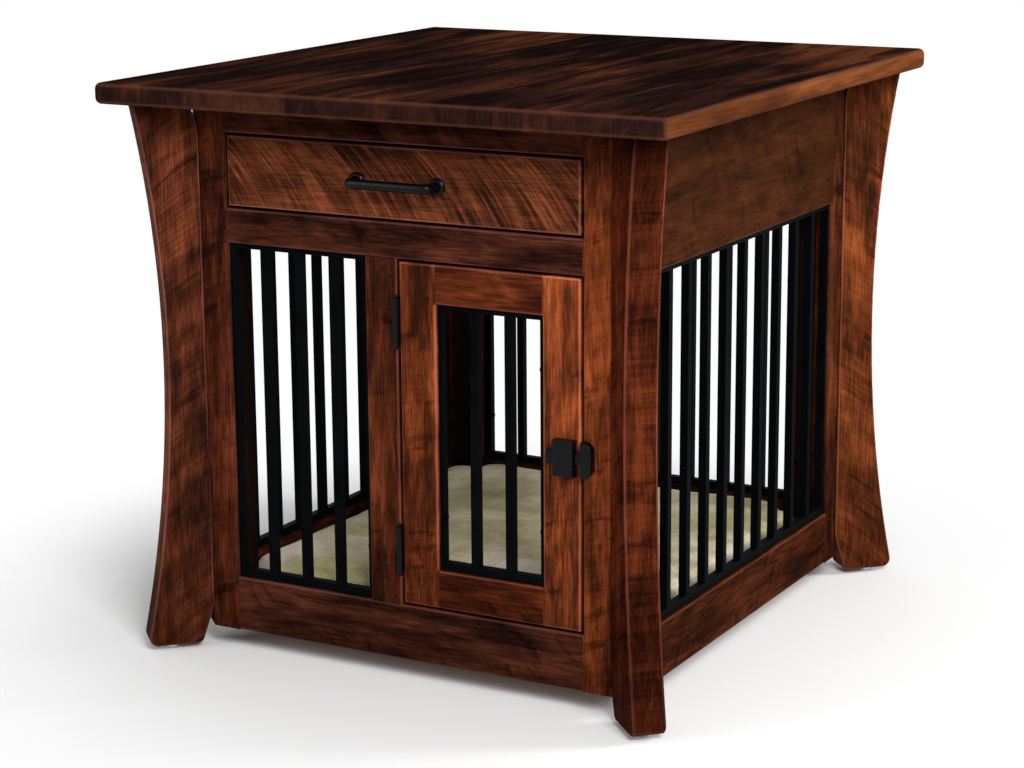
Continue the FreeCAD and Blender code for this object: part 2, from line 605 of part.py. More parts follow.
# cleats on the frame carry both panels
panel_cleats = []
for side in (-1, 1):
    x = "%d * (%s - cleat_size / 2) - cleat_size / 2" % (side, INSIDE_X)
    y = "%d * (%s - cleat_size / 2) - cleat_size / 2" % (side, INSIDE_Y)
    for z in ("case_clearance", "%s - dust_panel_thick - cleat_size" % DRAWER_LOW):
        panel_cleats.append(box(x, "-" + OPENING_Y, z, "cleat_size", SIDE_LONG, "cleat_size"))
        panel_cleats.append(box("-" + OPENING_X, y, z, FRAME_LONG, "cleat_size", "cleat_size"))
keep("panel_cleats", group(panel_cleats))


def pad_outline(inset, z):
    """One level of the pad: drawn-in long sides, notched round the posts, small round corners."""
    gap = size("pad_gap")
    inside_x, inside_y = value_of(INSIDE_X) - gap - inset, value_of(INSIDE_Y) - gap - inset
    notch_x, notch_y = value_of(OPENING_X) - gap - inset, value_of(OPENING_Y) - gap - inset
    bend = size("pad_round")
    draw = size("pad_draw")
    corners = []
    for sx, sy, flip in ((1, 1, False), (1, -1, True), (-1, -1, False), (-1, 1, True)):
        quarter = [(notch_x, inside_y), (notch_x, notch_y), (inside_x, notch_y)]
        if flip:
            quarter.reverse()
        corners += [Vector(sx * u, sy * v, z) for u, v in quarter]
    edges = []
    joints = []
    for i, corner in enumerate(corners):
        before = (corners[i - 1] - corner).normalize() * bend
        after = (corners[(i + 1) % len(corners)] - corner).normalize() * bend
        joints.append((corner + before, corner + (before + after) * (1 - math.sqrt(0.5)), corner + after))
    for i, (start, middle, end) in enumerate(joints):
        edges.append(Part.Arc(start, middle, end).toShape())
        next_start = joints[(i + 1) % len(joints)][0]
        half = (end + next_start) * 0.5
        if (next_start - end).Length > 4 * bend:
            pull = Vector(half.x, half.y, 0).normalize() * draw
            edges.append(Part.Arc(end, half - pull, next_start).toShape())
        else:
            edges.append(Part.LineSegment(end, next_start).toShape())
    return Part.Wire(edges)


def pad_levels():
    """Inset and height of each level, from the seat up to the crown."""
    base = value_of(FLOOR_TOP) + size("pad_seat_gap")
    tall = size("pad_edge_tall")
    levels = [(5, 0), (1, 0.2 * tall), (0, 0.5 * tall), (1.5, 0.8 * tall), (6, tall)]
    crown = size("pad_crown")
    for share in (0.25, 0.5, 0.75, 1.0):
        inset = 6 + 110 * share
        levels.append((inset, tall + crown * math.sin(share * math.pi / 2)))
    return [(inset, base + rise) for inset, rise in levels]


pad_solid = doc.addObject("Part::Feature", "PadSolid")
pad_solid.Shape = Part.makeLoft([pad_outline(inset, z) for inset, z in pad_levels()], True, True)
keep("floor_pad", pad_solid)


# ---- drawer -----------------------------------------------------------------------------------

FRONT_LOW = "(%s + drawer_reveal)" % DRAWER_LOW
FRONT_TALL = "(drawer_opening - 2 * drawer_reveal)"
BOX_LOW = "(%s + drawer_box_rise)" % FRONT_LOW
BOX_HALF = "(%s - slide_wide)" % OPENING_X
BOX_FRONT = "(-%s + drawer_front_thick)" % BACK
BOX_MID = "(%s + drawer_box_tall / 2)" % BOX_LOW
BOX_LONG = "(2 * %s - drawer_front_thick - drawer_back_room)" % BACK
SLIDE_LONG = "(%s - slide_setback - slide_tail_room)" % BOX_LONG
PULL_Z = "(%s + drawer_opening / 2)" % DRAWER_LOW

drawer_front = block_body("DrawerFront", "-%s + drawer_reveal" % OPENING_X, "-" + BACK, FRONT_LOW,
                          "2 * (%s - drawer_reveal)" % OPENING_X, "drawer_front_thick", FRONT_TALL)
ease(drawer_front, "easing", lambda mid, way, bb: near(mid.y, bb.YMin))

pull_bores_front = []
pull_bores_box = []
pull_screws = []
screw_long = "drawer_front_thick + drawer_side_thick + pull_screw_bite"
for side in (-1, 1):
    x = "%d * pull_centres / 2" % side
    y = "%s + drawer_side_thick" % BOX_FRONT
    pull_screws.append(pan_screw(x, y, PULL_Z, "-y", screw_long, "pull_screw_radius"))
    pull_bores_front.append(rod(x, y, PULL_Z, "pull_screw_radius", screw_long, "-y"))
    pull_bores_box.append(rod(x, y, PULL_Z, "pull_screw_radius", screw_long, "-y"))
keep("drawer_front", cut(drawer_front, pull_bores_front))
keep("pull_screws", group(pull_screws))

BOTTOM_Z = "(%s + drawer_bottom_rise)" % BOX_LOW
INNER_HALF = "(%s - drawer_side_thick)" % BOX_HALF
BOTTOM_HALF = "(%s + drawer_groove)" % INNER_HALF
BOTTOM_Y = "(%s + drawer_side_thick - drawer_groove)" % BOX_FRONT
BOTTOM_LONG = "(%s - 2 * (drawer_side_thick - drawer_groove))" % BOX_LONG
groove = [box("-" + BOTTOM_HALF, BOTTOM_Y, BOTTOM_Z, "2 * " + BOTTOM_HALF, BOTTOM_LONG,
              "drawer_bottom_thick") for count in range(4)]
for label, side in (("left", -1), ("right", 1)):
    x = "%d * (%s - drawer_side_thick / 2) - drawer_side_thick / 2" % (side, BOX_HALF)
    board = box(x, BOX_FRONT, BOX_LOW, "drawer_side_thick", BOX_LONG, "drawer_box_tall")
    keep("drawer_side_" + label, cut(board, [groove.pop()]))
for label, y in (("drawer_box_front", BOX_FRONT),
                 ("drawer_box_back", "%s + %s - drawer_side_thick" % (BOX_FRONT, BOX_LONG))):
    board = box("-" + INNER_HALF, y, BOX_LOW, "2 * " + INNER_HALF, "drawer_side_thick", "drawer_box_tall")
    bores = pull_bores_box if label == "drawer_box_front" else []
    keep(label, cut(board, [groove.pop()] + bores))
keep("drawer_bottom", box("-" + BOTTOM_HALF, BOTTOM_Y, BOTTOM_Z, "2 * " + BOTTOM_HALF, BOTTOM_LONG,
                          "drawer_bottom_thick"))

# bow pull: two round feet, two necks and a flat bar with rounded bends
bar_y = "(-%s - pull_projection)" % BACK
feet = []
for side in (-1, 1):
    x = "%d * pull_centres / 2" % side
    feet.append(cone(x, "-" + BACK, PULL_Z, "pull_foot_radius", "pull_neck_radius + 0.6",
                     "pull_foot_thick", "-y"))
    feet.append(rod(x, "-" + BACK, PULL_Z, "pull_neck_radius", "pull_projection - pull_deep / 2", "-y"))
grip = doc.addObject("PartDesign::Body", "Grip")
grip_blank = grip.newObject("PartDesign::AdditiveBox", "Bar")
bind(grip_blank, Length="pull_centres + 2 * (pull_neck_radius + pull_bar_spare)", Width="pull_deep", Height="pull_tall")
place(grip, "-pull_centres / 2 - pull_neck_radius - pull_bar_spare", bar_y, "%s - pull_tall / 2" % PULL_Z)
ease(grip, "pull_neck_radius - 0.5", lambda mid, way, bb: abs(way.z) > 1 and near(mid.y, bb.YMin))
ease(grip, "easing - 0.8", lambda mid, way, bb: near(mid.z, bb.ZMin) or near(mid.z, bb.ZMax))
pull_threads = [rod("%d * pull_centres / 2" % side, "%s + drawer_side_thick" % BOX_FRONT, PULL_Z,
                    "pull_screw_radius", screw_long, "-y") for side in (-1, 1)]
keep("drawer_pull", cut(fuse(feet + [grip]), pull_threads))


# ---- drawer slides ----------------------------------------------------------------------------

def channel(name, side, web, reach, tall, opens_out):
    """A steel channel beside the drawer: a web at one distance from the middle and two flanges.
    It opens towards the drawer, or away from it."""
    body = doc.addObject("PartDesign::Body", name)
    sheet_thick = "slide_sheet"
    half = "(%s / 2)" % tall
    far = "(%s - %s)" % (web, sheet_thick)
    end = "(%s - %s)" % (web, reach)
    if opens_out:
        far, end = "(%s + %s)" % (web, sheet_thick), "(%s + %s)" % (web, reach)
    inner = "(%s - %s)" % (half, sheet_thick)
    points = [(web, "-" + half), (web, half), (end, half), (end, inner), (far, inner),
              (far, "-" + inner), (end, "-" + inner), (end, "-" + half)]
    outline = [("%d * %s" % (side, u), v) for u, v in points]
    pad(body, polygon(body, "XZ_Plane", outline), SLIDE_LONG).Reversed = True
    return place(body, 0, "%s + slide_setback" % BOX_FRONT, BOX_MID)


WEB_OUT = OPENING_X
WEB_MID = "(%s - slide_sheet - slide_middle_web_air)" % OPENING_X
WEB_IN = BOX_HALF
keep("slide_cabinet_members", group([
    channel("CabinetMember", side, WEB_OUT, "(slide_wide - slide_sheet - 1.2)", "slide_tall", False)
    for side in (-1, 1)]))
keep("slide_middle_members", group([
    channel("MiddleMember", side, WEB_MID, "(slide_wide - 2 * slide_sheet - slide_middle_web_air - 1)",
            "slide_middle_tall", False) for side in (-1, 1)]))
keep("slide_drawer_members", group([
    channel("DrawerMember", side, WEB_IN, "(slide_wide - 2 * slide_sheet - slide_middle_web_air - slide_air)",
            "slide_inner_tall", True) for side in (-1, 1)]))

packing = []
for side in (-1, 1):
    wide = "(%s - %s)" % (INSIDE_X, OPENING_X)
    x = "%d * (%s + %s / 2) - %s / 2" % (side, OPENING_X, wide, wide)
    packing.append(box(x, "-" + OPENING_Y, DRAWER_LOW, wide, SIDE_LONG,
                       "%s - %s + packing_tall / 2" % (BOX_MID, DRAWER_LOW)))
keep("slide_packing", group(packing))


# ---- door -------------------------------------------------------------------------------------

DOOR_X0 = "(%s + door_reveal)" % STILE_RIGHT
DOOR_X1 = "(%s - door_reveal)" % OPENING_X
DOOR_Z0 = "(%s + door_reveal)" % CRATE_LOW
DOOR_TALL = "(%s - 2 * door_reveal)" % CRATE_OPEN
INNER_X0 = "(%s + door_stile_wide)" % DOOR_X0
INNER_X1 = "(%s - door_stile_wide)" % DOOR_X1
DOOR_GRILLE_Z = "(%s + door_rail_tall + grille_clear)" % DOOR_Z0
DOOR_GRILLE_TALL = "(%s - 2 * door_rail_tall - 2 * grille_clear)" % DOOR_TALL
DOOR_GRILLE_X0 = "(%s - grille_lap + grille_clear)" % INNER_X0
DOOR_GRILLE_X1 = "(%s + grille_lap - grille_clear)" % INNER_X1

door_grille = grille("door_grille", DOOR_GRILLE_X0, "-%s + grille_recess" % BACK, DOOR_GRILLE_Z,
                     "(%s - %s)" % (DOOR_GRILLE_X1, DOOR_GRILLE_X0), DOOR_GRILLE_TALL, "door_bars")
door_screws = []
door_grille_bores = []
stile_bores = {"-x": [], "x": []}
deep = "-%s + %s" % (BACK, DEEP)
for sx, sy, sz, along in rim_screws(DOOR_GRILLE_X0, DOOR_GRILLE_X1, deep, deep, DOOR_GRILLE_Z,
                                    "(%s + %s)" % (DOOR_GRILLE_Z, DOOR_GRILLE_TALL), "x"):
    door_screws.append(pan_screw(sx, sy, sz, along, "short_screw_long"))
    door_grille_bores.append(rod(sx, sy, sz, "screw_radius", "short_screw_long", along))
    stile_bores[along].append(rod(sx, sy, sz, "screw_radius", "short_screw_long", along))
keep("door_grille", cut(door_grille, door_grille_bores))
keep("door_grille_screws", group(door_screws))

stiles = {}
for label, x, side in (("door_hinge_stile", DOOR_X0, 1), ("door_latch_stile", DOOR_X1, -1)):
    body = doc.addObject("PartDesign::Body", "DoorStile")
    wide = "door_stile_wide"
    section = [("0", "0"), (wide, "0"), (wide, "grille_recess"), (wide + " - grille_lap", "grille_recess"),
               (wide + " - grille_lap", "frame_thick"), ("0", "frame_thick")]
    pad(body, polygon(body, "XY_Plane", [("%d * (%s)" % (side, u), v) for u, v in section]), DOOR_TALL)
    place(body, x, "-" + BACK, DOOR_Z0)
    ease(body, "easing", lambda mid, way, bb: near(mid.y, 0)
         and ((abs(way.z) > 10 and near(mid.x, 0)) or abs(way.x) > 10))
    moulding = edge_cutter(INNER_X0 if side > 0 else INNER_X1, "-" + BACK, "%s + door_rail_tall" % DOOR_Z0,
                           "%s - 2 * door_rail_tall" % DOOR_TALL, -side, 1)
    stiles[label] = (body, moulding)

for label, z in (("door_bottom_rail", DOOR_Z0),
                 ("door_top_rail", "%s + %s - door_rail_tall" % (DOOR_Z0, DOOR_TALL))):
    body = rail("DoorRail", INNER_X0, "-" + BACK, z, "(%s - %s)" % (INNER_X1, INNER_X0),
                "door_rail_tall", 1)
    ease(body, "easing", face_edge(1, True, True))
    keep(label, body)


# ---- hinges -----------------------------------------------------------------------------------

# A leaf lies on each side of the gap between stile and door; the barrel stands in front.
AXIS_X = "(%s + door_reveal / 2)" % STILE_RIGHT
AXIS_Y = "(-%s - barrel_forward)" % BACK
KNUCKLE = "((hinge_tall - 4 * knuckle_gap) / 5)"
HINGE_HEIGHTS = ["(%s + hinge_foot_inset)" % DOOR_Z0, "(%s + %s - hinge_head_inset)" % (DOOR_Z0, DOOR_TALL)]


def leaf(centre_z, on_door):
    """A leaf with its own knuckles: three on the frame, two on the door."""
    x = "(%s - leaf_thick)" % DOOR_X0 if on_door else STILE_RIGHT
    base_z = "%s - hinge_tall / 2" % centre_z
    pieces = [box(x, "-" + BACK, base_z, "leaf_thick", "leaf_wide", "hinge_tall")]
    for number in (1, 3) if on_door else (0, 2, 4):
        z = "%s + %d * (%s + knuckle_gap)" % (base_z, number, KNUCKLE)
        pieces.append(rod(AXIS_X, AXIS_Y, z, "barrel_radius", KNUCKLE, "z"))
        pieces.append(box(x, AXIS_Y, z, "leaf_thick", "barrel_forward", KNUCKLE))
    bore = rod(AXIS_X, AXIS_Y, "%s - 1" % base_z, "pin_radius + pin_clear", "hinge_tall + 2", "z")
    return fuse(pieces), bore


def leaf_screws(centre_z, on_door, maker):
    """Two countersunk screws from the face of a leaf into the wood behind it."""
    x = "%s - leaf_thick" % DOOR_X0 if on_door else "%s + leaf_thick" % STILE_RIGHT
    along = "x" if on_door else "-x"
    return [maker(x, "-%s + leaf_wide / 2" % BACK, "%s + %s * hinge_screw_spread" % (centre_z, step), along)
            for step in ("-0.5", "0.5")]


def countersunk(x, y, z, along):
    return flush_screw(x, y, z, along, "hinge_screw_long", "leaf_thick")


frame_leaves, door_leaves, pins = [], [], []
frame_screws, hinge_door_screws = [], []
centre_bores, hinge_stile_bores = [], []
for centre_z in HINGE_HEIGHTS:
    for on_door, leaves, screws, bores in ((False, frame_leaves, frame_screws, centre_bores),
                                           (True, door_leaves, hinge_door_screws, hinge_stile_bores)):
        blank, bore = leaf(centre_z, on_door)
        leaves.append(cut(blank, [bore] + leaf_screws(centre_z, on_door, countersunk)))
        screws += leaf_screws(centre_z, on_door, countersunk)
        bores += leaf_screws(centre_z, on_door, countersunk)
    low = "(%s - hinge_tall / 2)" % centre_z
    shaft = rod(AXIS_X, AXIS_Y, "%s - ball_neck_tall" % low, "pin_radius",
                "hinge_tall + 2 * ball_neck_tall", "z")
    tips = []
    for z, way in (("%s - ball_neck_tall" % low, -1), ("%s + hinge_tall + ball_neck_tall" % low, 1)):
        ball = doc.addObject("Part::Sphere", "BallTip")
        bind(ball, Radius="ball_tip_radius")
        tips.append(place(ball, AXIS_X, AXIS_Y, "%s + %d * ball_tip_radius / 2" % (z, way)))
    neck_low = rod(AXIS_X, AXIS_Y, "%s - ball_neck_tall" % low, "pin_radius + 0.8", "ball_neck_tall", "z")
    neck_high = rod(AXIS_X, AXIS_Y, "%s + hinge_tall" % low, "pin_radius + 0.8", "ball_neck_tall", "z")
    pins.append(fuse([shaft, neck_low, neck_high] + tips))
keep("hinge_frame_leaves", group(frame_leaves))
keep("hinge_door_leaves", group(door_leaves))
keep("hinge_pins", group(pins))
keep("hinge_frame_screws", group(frame_screws))
keep("hinge_door_screws", group(hinge_door_screws))


# ---- latch and strike -------------------------------------------------------------------------

LATCH_X1 = "(%s - latch_setback)" % DOOR_X1
LATCH_X0 = "(%s - latch_wide)" % LATCH_X1
LATCH_Z = "(%s + %s / 2)" % (DOOR_Z0, DOOR_TALL)
STRIKE_X0 = "(%s + strike_setback)" % OPENING_X
BOLT_Y = "(-%s - bolt_lift - bolt_thick)" % BACK
BOLT_TIP = "(%s - bolt_clear)" % STRIKE_X0

case = doc.addObject("PartDesign::Body", "LatchCase")
case_blank = case.newObject("PartDesign::AdditiveBox", "Cover")
bind(case_blank, Length="latch_wide", Width="latch_proud", Height="latch_tall")
place(case, LATCH_X0, "-%s - latch_proud" % BACK, "%s - latch_tall / 2" % LATCH_Z)
ease(case, "latch_corner", lambda mid, way, bb: near(mid.y, bb.YMin))
hollow = box("%s + latch_wall" % LATCH_X0, "-%s - latch_proud + latch_wall" % BACK,
             LATCH_Z + " - tab_tall / 2 - 1", "latch_wide - 2 * latch_wall",
             "latch_proud - latch_wall", "tab_tall + 2")
slots = []
for x, tall in (("%s - latch_wall - 0.5" % LATCH_X1, "bolt_tall"), ("%s - 0.5" % LATCH_X0, "tab_tall")):
    slots.append(box(x, "%s - bolt_clear" % BOLT_Y, "%s - %s / 2 - bolt_clear" % (LATCH_Z, tall),
                     "latch_wall + 1", "bolt_thick + 2 * bolt_clear", "%s + 2 * bolt_clear" % tall))
latch_screws = []
latch_case_bores = []
latch_stile_bores = []
for step in ("-0.5", "0.5"):
    z = "%s + %s * latch_screw_spread" % (LATCH_Z, step)
    x = "%s - latch_wide / 2" % LATCH_X1
    y = "-%s - latch_proud" % BACK
    length = "latch_proud + latch_screw_long"
    latch_screws.append(flush_screw(x, y, z, "y", length, "screw_head_tall"))
    latch_case_bores.append(flush_screw(x, y, z, "y", length, "screw_head_tall"))
    latch_stile_bores.append(rod(x, "-" + BACK, z, "screw_radius", "latch_screw_long", "y"))
keep("latch_case", cut(case, [hollow] + slots + latch_case_bores))
keep("latch_screws", group(latch_screws))

# bolt: a flat plate with a finger tab outside the case, narrower where it enters the strike.
# Its shoulder meets the case wall at the end of the throw.
SHOULDER_X = "(%s - latch_wall - bolt_throw)" % LATCH_X1
TAB_X = "(%s - tab_reach)" % LATCH_X0
plate = doc.addObject("PartDesign::Body", "BoltPlate")
plate_blank = plate.newObject("PartDesign::AdditiveBox", "Plate")
bind(plate_blank, Length="%s - %s" % (SHOULDER_X, TAB_X), Width="bolt_thick", Height="tab_tall")
place(plate, TAB_X, BOLT_Y, LATCH_Z + " - tab_tall / 2")
ease(plate, "tab_rounding", lambda mid, way, bb: near(mid.x, bb.XMin) and abs(way.z) > 1)
nose = box(SHOULDER_X, BOLT_Y, LATCH_Z + " - bolt_tall / 2", "%s - %s" % (BOLT_TIP, SHOULDER_X),
           "bolt_thick", "bolt_tall")
lug_x = "%s + latch_wall + spring_long" % LATCH_X0
lug_deep = "(latch_proud - latch_wall - bolt_lift - bolt_thick - bolt_clear / 2)"
lug = box(lug_x, "%s - %s" % (BOLT_Y, lug_deep), LATCH_Z + " - lug_tall / 2", "lug_thick", lug_deep,
          "lug_tall")
keep("latch_bolt", fuse([plate, nose, lug]))

# the spring stands between the case wall and the lug, at its length with the bolt drawn back
coil_start = "%s + latch_wall + 2 * spring_wire" % LATCH_X0
coil = doc.addObject("Part::Helix", "Coil")
bind(coil, Pitch="spring_pitch", Height="spring_long - 4 * spring_wire", Radius="spring_radius")
place(coil, coil_start, "%s - %s / 2" % (BOLT_Y, lug_deep), LATCH_Z, ALONG["x"])
wire = doc.addObject("Part::Circle", "Wire")
bind(wire, Radius="spring_wire")
start_way = ALONG["x"].multVec(Vector(1, 0, 0))
wire_x = "%s + %g * spring_radius" % (coil_start, start_way.x)
wire_y = "%s - %s / 2 + %g * spring_radius" % (BOLT_Y, lug_deep, start_way.y)
wire_z = "%s + %g * spring_radius" % (LATCH_Z, start_way.z)
place(wire, wire_x, wire_y, wire_z, Rotation(Vector(0, 0, 1), ALONG["x"].multVec(Vector(0, 1, 0))))
winding = doc.addObject("Part::Sweep", "Winding")
winding.Sections = [wire]
winding.Spine = (coil, [])
winding.Solid = True
winding.Frenet = True
keep("latch_spring", winding)

# strike: a D-shaped cover with a pocket that faces the bolt
strike = doc.addObject("PartDesign::Body", "Strike")
strike_blank = strike.newObject("PartDesign::AdditiveBox", "Cover")
bind(strike_blank, Length="strike_wide", Width="strike_proud", Height="strike_tall")
place(strike, STRIKE_X0, "-%s - strike_proud" % BACK, LATCH_Z + " - strike_tall / 2")
ease(strike, "strike_bend", lambda mid, way, bb: abs(way.y) > 1 and near(mid.x, bb.XMax))
ease(strike, "latch_corner", lambda mid, way, bb: near(mid.y, bb.YMin) and not
     (near(mid.x, bb.XMin) and abs(way.z) > 1))
pocket = box("%s - 1" % STRIKE_X0, "-%s - strike_proud + latch_wall" % BACK,
             LATCH_Z + " - strike_pocket_tall / 2", "strike_wide - latch_wall",
             "strike_proud - latch_wall", "strike_pocket_tall")
strike_screws = []
strike_bores = []
strike_post_bores = []
for step in ("-0.5", "0.5"):
    z = "%s + %s * strike_screw_spread" % (LATCH_Z, step)
    x = "%s + strike_wide * 0.38" % STRIKE_X0
    y = "-%s - strike_proud" % BACK
    length = "strike_proud + latch_screw_long"
    strike_screws.append(flush_screw(x, y, z, "y", length, "screw_head_tall"))
    strike_bores.append(flush_screw(x, y, z, "y", length, "screw_head_tall"))
    strike_post_bores.append(rod(x, "-" + BACK, z, "screw_radius", "latch_screw_long", "y"))
keep("latch_strike", cut(strike, [pocket] + strike_bores))
keep("strike_screws", group(strike_screws))


# ---- wood that takes screws -------------------------------------------------------------------

door_wood = {"door_hinge_stile": stile_bores["-x"] + hinge_stile_bores,
             "door_latch_stile": stile_bores["x"] + latch_stile_bores}
for label, (body, moulding) in stiles.items():
    keep(label, cut(body, [moulding] + door_wood[label]))
centre_screw_bores = [tool for along, tool in wood_bores["front"] if along == "x"]
keep("centre_stile", cut(centre_stile, centre_screw_bores + centre_bores))
for label, takes in POST_TAKES.items():
    post, bores = NODES[label]
    for side, along in takes:
        bores = bores + [tool for way, tool in wood_bores[side] if way == along]
    if label == "post_front_right":
        bores = bores + strike_post_bores
    keep(label, cut(post, bores))


# ---- check and write --------------------------------------------------------------------------

doc.recompute()
for obj in doc.Objects:
    bad = [word for word in obj.State if word in ("Invalid", "Error")]
    if bad:
        raise RuntimeError("%s is %s" % (obj.Label, bad))
os.makedirs("parts", exist_ok=True)
for label, obj in NODES.items():
    shape = obj.Shape
    if shape.isNull() or not shape.isValid() or not shape.Solids:
        raise RuntimeError("%s has no valid shape" % label)
    shape.exportStep(os.path.join("parts", label + ".step"))
print("pieces written:", len(NODES))
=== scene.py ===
import math

import bmesh
import bpy
from mathutils import Matrix, Vector, noise


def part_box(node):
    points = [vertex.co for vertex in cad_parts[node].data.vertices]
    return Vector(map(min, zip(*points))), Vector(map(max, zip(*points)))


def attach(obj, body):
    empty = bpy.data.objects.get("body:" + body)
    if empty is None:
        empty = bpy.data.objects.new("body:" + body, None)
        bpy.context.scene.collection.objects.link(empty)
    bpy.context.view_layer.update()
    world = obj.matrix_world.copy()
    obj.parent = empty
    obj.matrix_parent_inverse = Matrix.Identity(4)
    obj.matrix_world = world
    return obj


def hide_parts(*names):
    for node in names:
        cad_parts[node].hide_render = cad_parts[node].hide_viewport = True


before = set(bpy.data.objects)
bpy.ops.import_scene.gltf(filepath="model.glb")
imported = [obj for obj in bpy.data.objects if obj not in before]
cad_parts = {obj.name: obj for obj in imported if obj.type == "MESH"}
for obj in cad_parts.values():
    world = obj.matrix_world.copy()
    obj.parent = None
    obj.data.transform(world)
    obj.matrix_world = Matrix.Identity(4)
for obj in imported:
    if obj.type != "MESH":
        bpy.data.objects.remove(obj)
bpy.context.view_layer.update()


# Studio: the crate table stands on a plain pale floor in front of white, with one large soft lamp
# from the right, a weaker one from the left, and a small one behind that reaches into the crate.
def aimed(place, target):
    """The turn that points a lamp at a target."""
    return (Vector(target) - Vector(place)).to_track_quat("-Z", "Y").to_euler()


def softbox(name, place, target, side, watts):
    lamp = bpy.data.lights.new(name, "AREA")
    lamp.shape = "SQUARE"
    lamp.size = side
    lamp.energy = watts
    holder = bpy.data.objects.new(name, lamp)
    holder.location = place
    holder.rotation_euler = aimed(place, target)
    bpy.context.scene.collection.objects.link(holder)


softbox("key_softbox", (2.5, -2.5, 2.6), (0.0, 0.0, 0.3), 1.5, 138.0)
softbox("fill_softbox", (-2.6, -2.9, 1.5), (0.0, 0.0, 0.35), 2.2, 34.0)
softbox("crate_softbox", (2.6, 1.5, 1.3), (0.0, 0.0, 0.2), 0.7, 52.0)


def put(tree, kind, sockets=None, **settings):
    """Adds one shader node; a socket takes a plain value or another node's output."""
    made = tree.nodes.new("ShaderNode" + kind)
    for key, value in settings.items():
        setattr(made, key, value)
    for key, value in (sockets or {}).items():
        if isinstance(value, bpy.types.NodeSocket):
            tree.links.new(value, made.inputs[key])
        else:
            made.inputs[key].default_value = value
    return made


def flow(tree, kind, sockets=None, **settings):
    """The same, and gives the node's first output."""
    return put(tree, kind, sockets, **settings).outputs[0]


def blank(name):
    """A new material with an empty node tree, and that tree."""
    made = bpy.data.materials.new(name)
    made.use_nodes = True
    made.node_tree.nodes.clear()
    return made, made.node_tree


def seen_ray(tree):
    """One for rays that show the background: straight, in a reflection or through glass."""
    rays = put(tree, "LightPath")
    straight = flow(
        tree, "Math", {0: rays.outputs["Is Camera Ray"], 1: rays.outputs["Is Glossy Ray"]},
        operation="MAXIMUM",
    )
    return flow(
        tree, "Math", {0: straight, 1: rays.outputs["Is Transmission Ray"]}, operation="MAXIMUM"
    )


studio = bpy.data.worlds.new("studio")
studio.use_nodes = True
bpy.context.scene.world = studio
sky = studio.node_tree
sky.nodes.clear()
room_light = flow(sky, "Background", {"Color": (1.0, 1.0, 1.0, 1.0), "Strength": 0.36})
white_back = flow(sky, "Background", {"Color": (1.0, 1.0, 1.0, 1.0), "Strength": 1.0})
both = flow(sky, "MixShader", {0: seen_ray(sky), 1: room_light, 2: white_back})
put(sky, "OutputWorld", {"Surface": both})

bpy.ops.object.select_all(action="DESELECT")
bpy.ops.mesh.primitive_circle_add(vertices=96, radius=7.0, fill_type="NGON")
floor = bpy.context.object
floor.name = "studio_floor"
pale, tree = blank("studio_floor_paint")
spot = put(tree, "TexCoord").outputs["Object"]
reach = put(tree, "VectorMath", {0: spot}, operation="LENGTH").outputs["Value"]
fading = flow(tree, "MapRange", {"Value": reach, "From Min": 0.36, "From Max": 0.88},
              interpolation_type="SMOOTHERSTEP")
shown = flow(tree, "Math", {0: fading, 1: seen_ray(tree)}, operation="MULTIPLY")
paint = flow(tree, "BsdfDiffuse", {"Color": (0.96, 0.96, 0.96, 1.0)})
glow = flow(tree, "Emission", {"Color": (1.0, 1.0, 1.0, 1.0), "Strength": 1.0})
top_coat = flow(tree, "MixShader", {0: shown, 1: paint, 2: glow})
put(tree, "OutputMaterial", {"Surface": top_coat})
floor.data.materials.append(pale)

# Camera: it stands where the photograph was taken from, with the same long lens.
eye = (1.396435, -2.589421, 0.978559)
turn, drop, roll = (math.radians(angle) for angle in (28.81344, 13.35168, -0.40288))
ahead = Vector(
    (-math.sin(turn) * math.cos(drop), math.cos(turn) * math.cos(drop), -math.sin(drop))
)
level = Vector((math.cos(turn), math.sin(turn), 0.0))
upright = level.cross(ahead)
side = level * math.cos(roll) + upright * math.sin(roll)
top = upright * math.cos(roll) - level * math.sin(roll)
lens = bpy.data.cameras.new("photo_camera")
lens.sensor_width = 36.0
lens.lens = 88.0563
camera = bpy.data.objects.new("photo_camera", lens)
camera.matrix_world = Matrix.Translation(eye) @ Matrix(
    ((side.x, top.x, -ahead.x, 0.0), (side.y, top.y, -ahead.y, 0.0),
     (side.z, top.z, -ahead.z, 0.0), (0.0, 0.0, 0.0, 1.0))
)
bpy.context.scene.collection.objects.link(camera)
bpy.context.scene.camera = camera
bpy.context.scene.view_settings.view_transform = "Standard"


# Legs: four thick maple planks on the clipped corners, rough sawn and stained brown, darkened by
# painted shade towards the floor and under the top. The saw's marks lean across the face, and the
# eased edges carry a painted highlight.
def shade(red, green, blue, times=(1.0, 1.0, 1.0)):
    """A colour from its screen values of 0 to 255, each channel then scaled."""
    linear = [((c / 255 + 0.055) / 1.055) ** 2.4 for c in (red, green, blue)]
    return (*(c * t for c, t in zip(linear, times)), 1.0)


def ramp(tree, value, stops, blend="LINEAR"):
    """A colour ramp from (position, colour) stops."""
    band = put(tree, "ValToRGB", {"Fac": value})
    band.color_ramp.interpolation = blend
    points = band.color_ramp.elements
    while len(points) < len(stops):
        points.new(0.5)
    for point, (position, colour) in zip(points, stops):
        point.position = position
        point.color = colour
    return band.outputs[0]


def grain_noise(tree, where, stretch, scale, detail=3.0, twist=0.0, low=0.32, high=0.68):
    """Noise drawn out along the grain, spread over 0 to 1."""
    drawn = flow(tree, "Mapping", {"Vector": where, "Scale": stretch})
    spots = flow(tree, "TexNoise", {"Vector": drawn, "Scale": scale, "Detail": detail,
                                    "Roughness": 0.55, "Distortion": twist})
    return flow(tree, "MapRange", {"Value": spots, "From Min": low, "From Max": high})


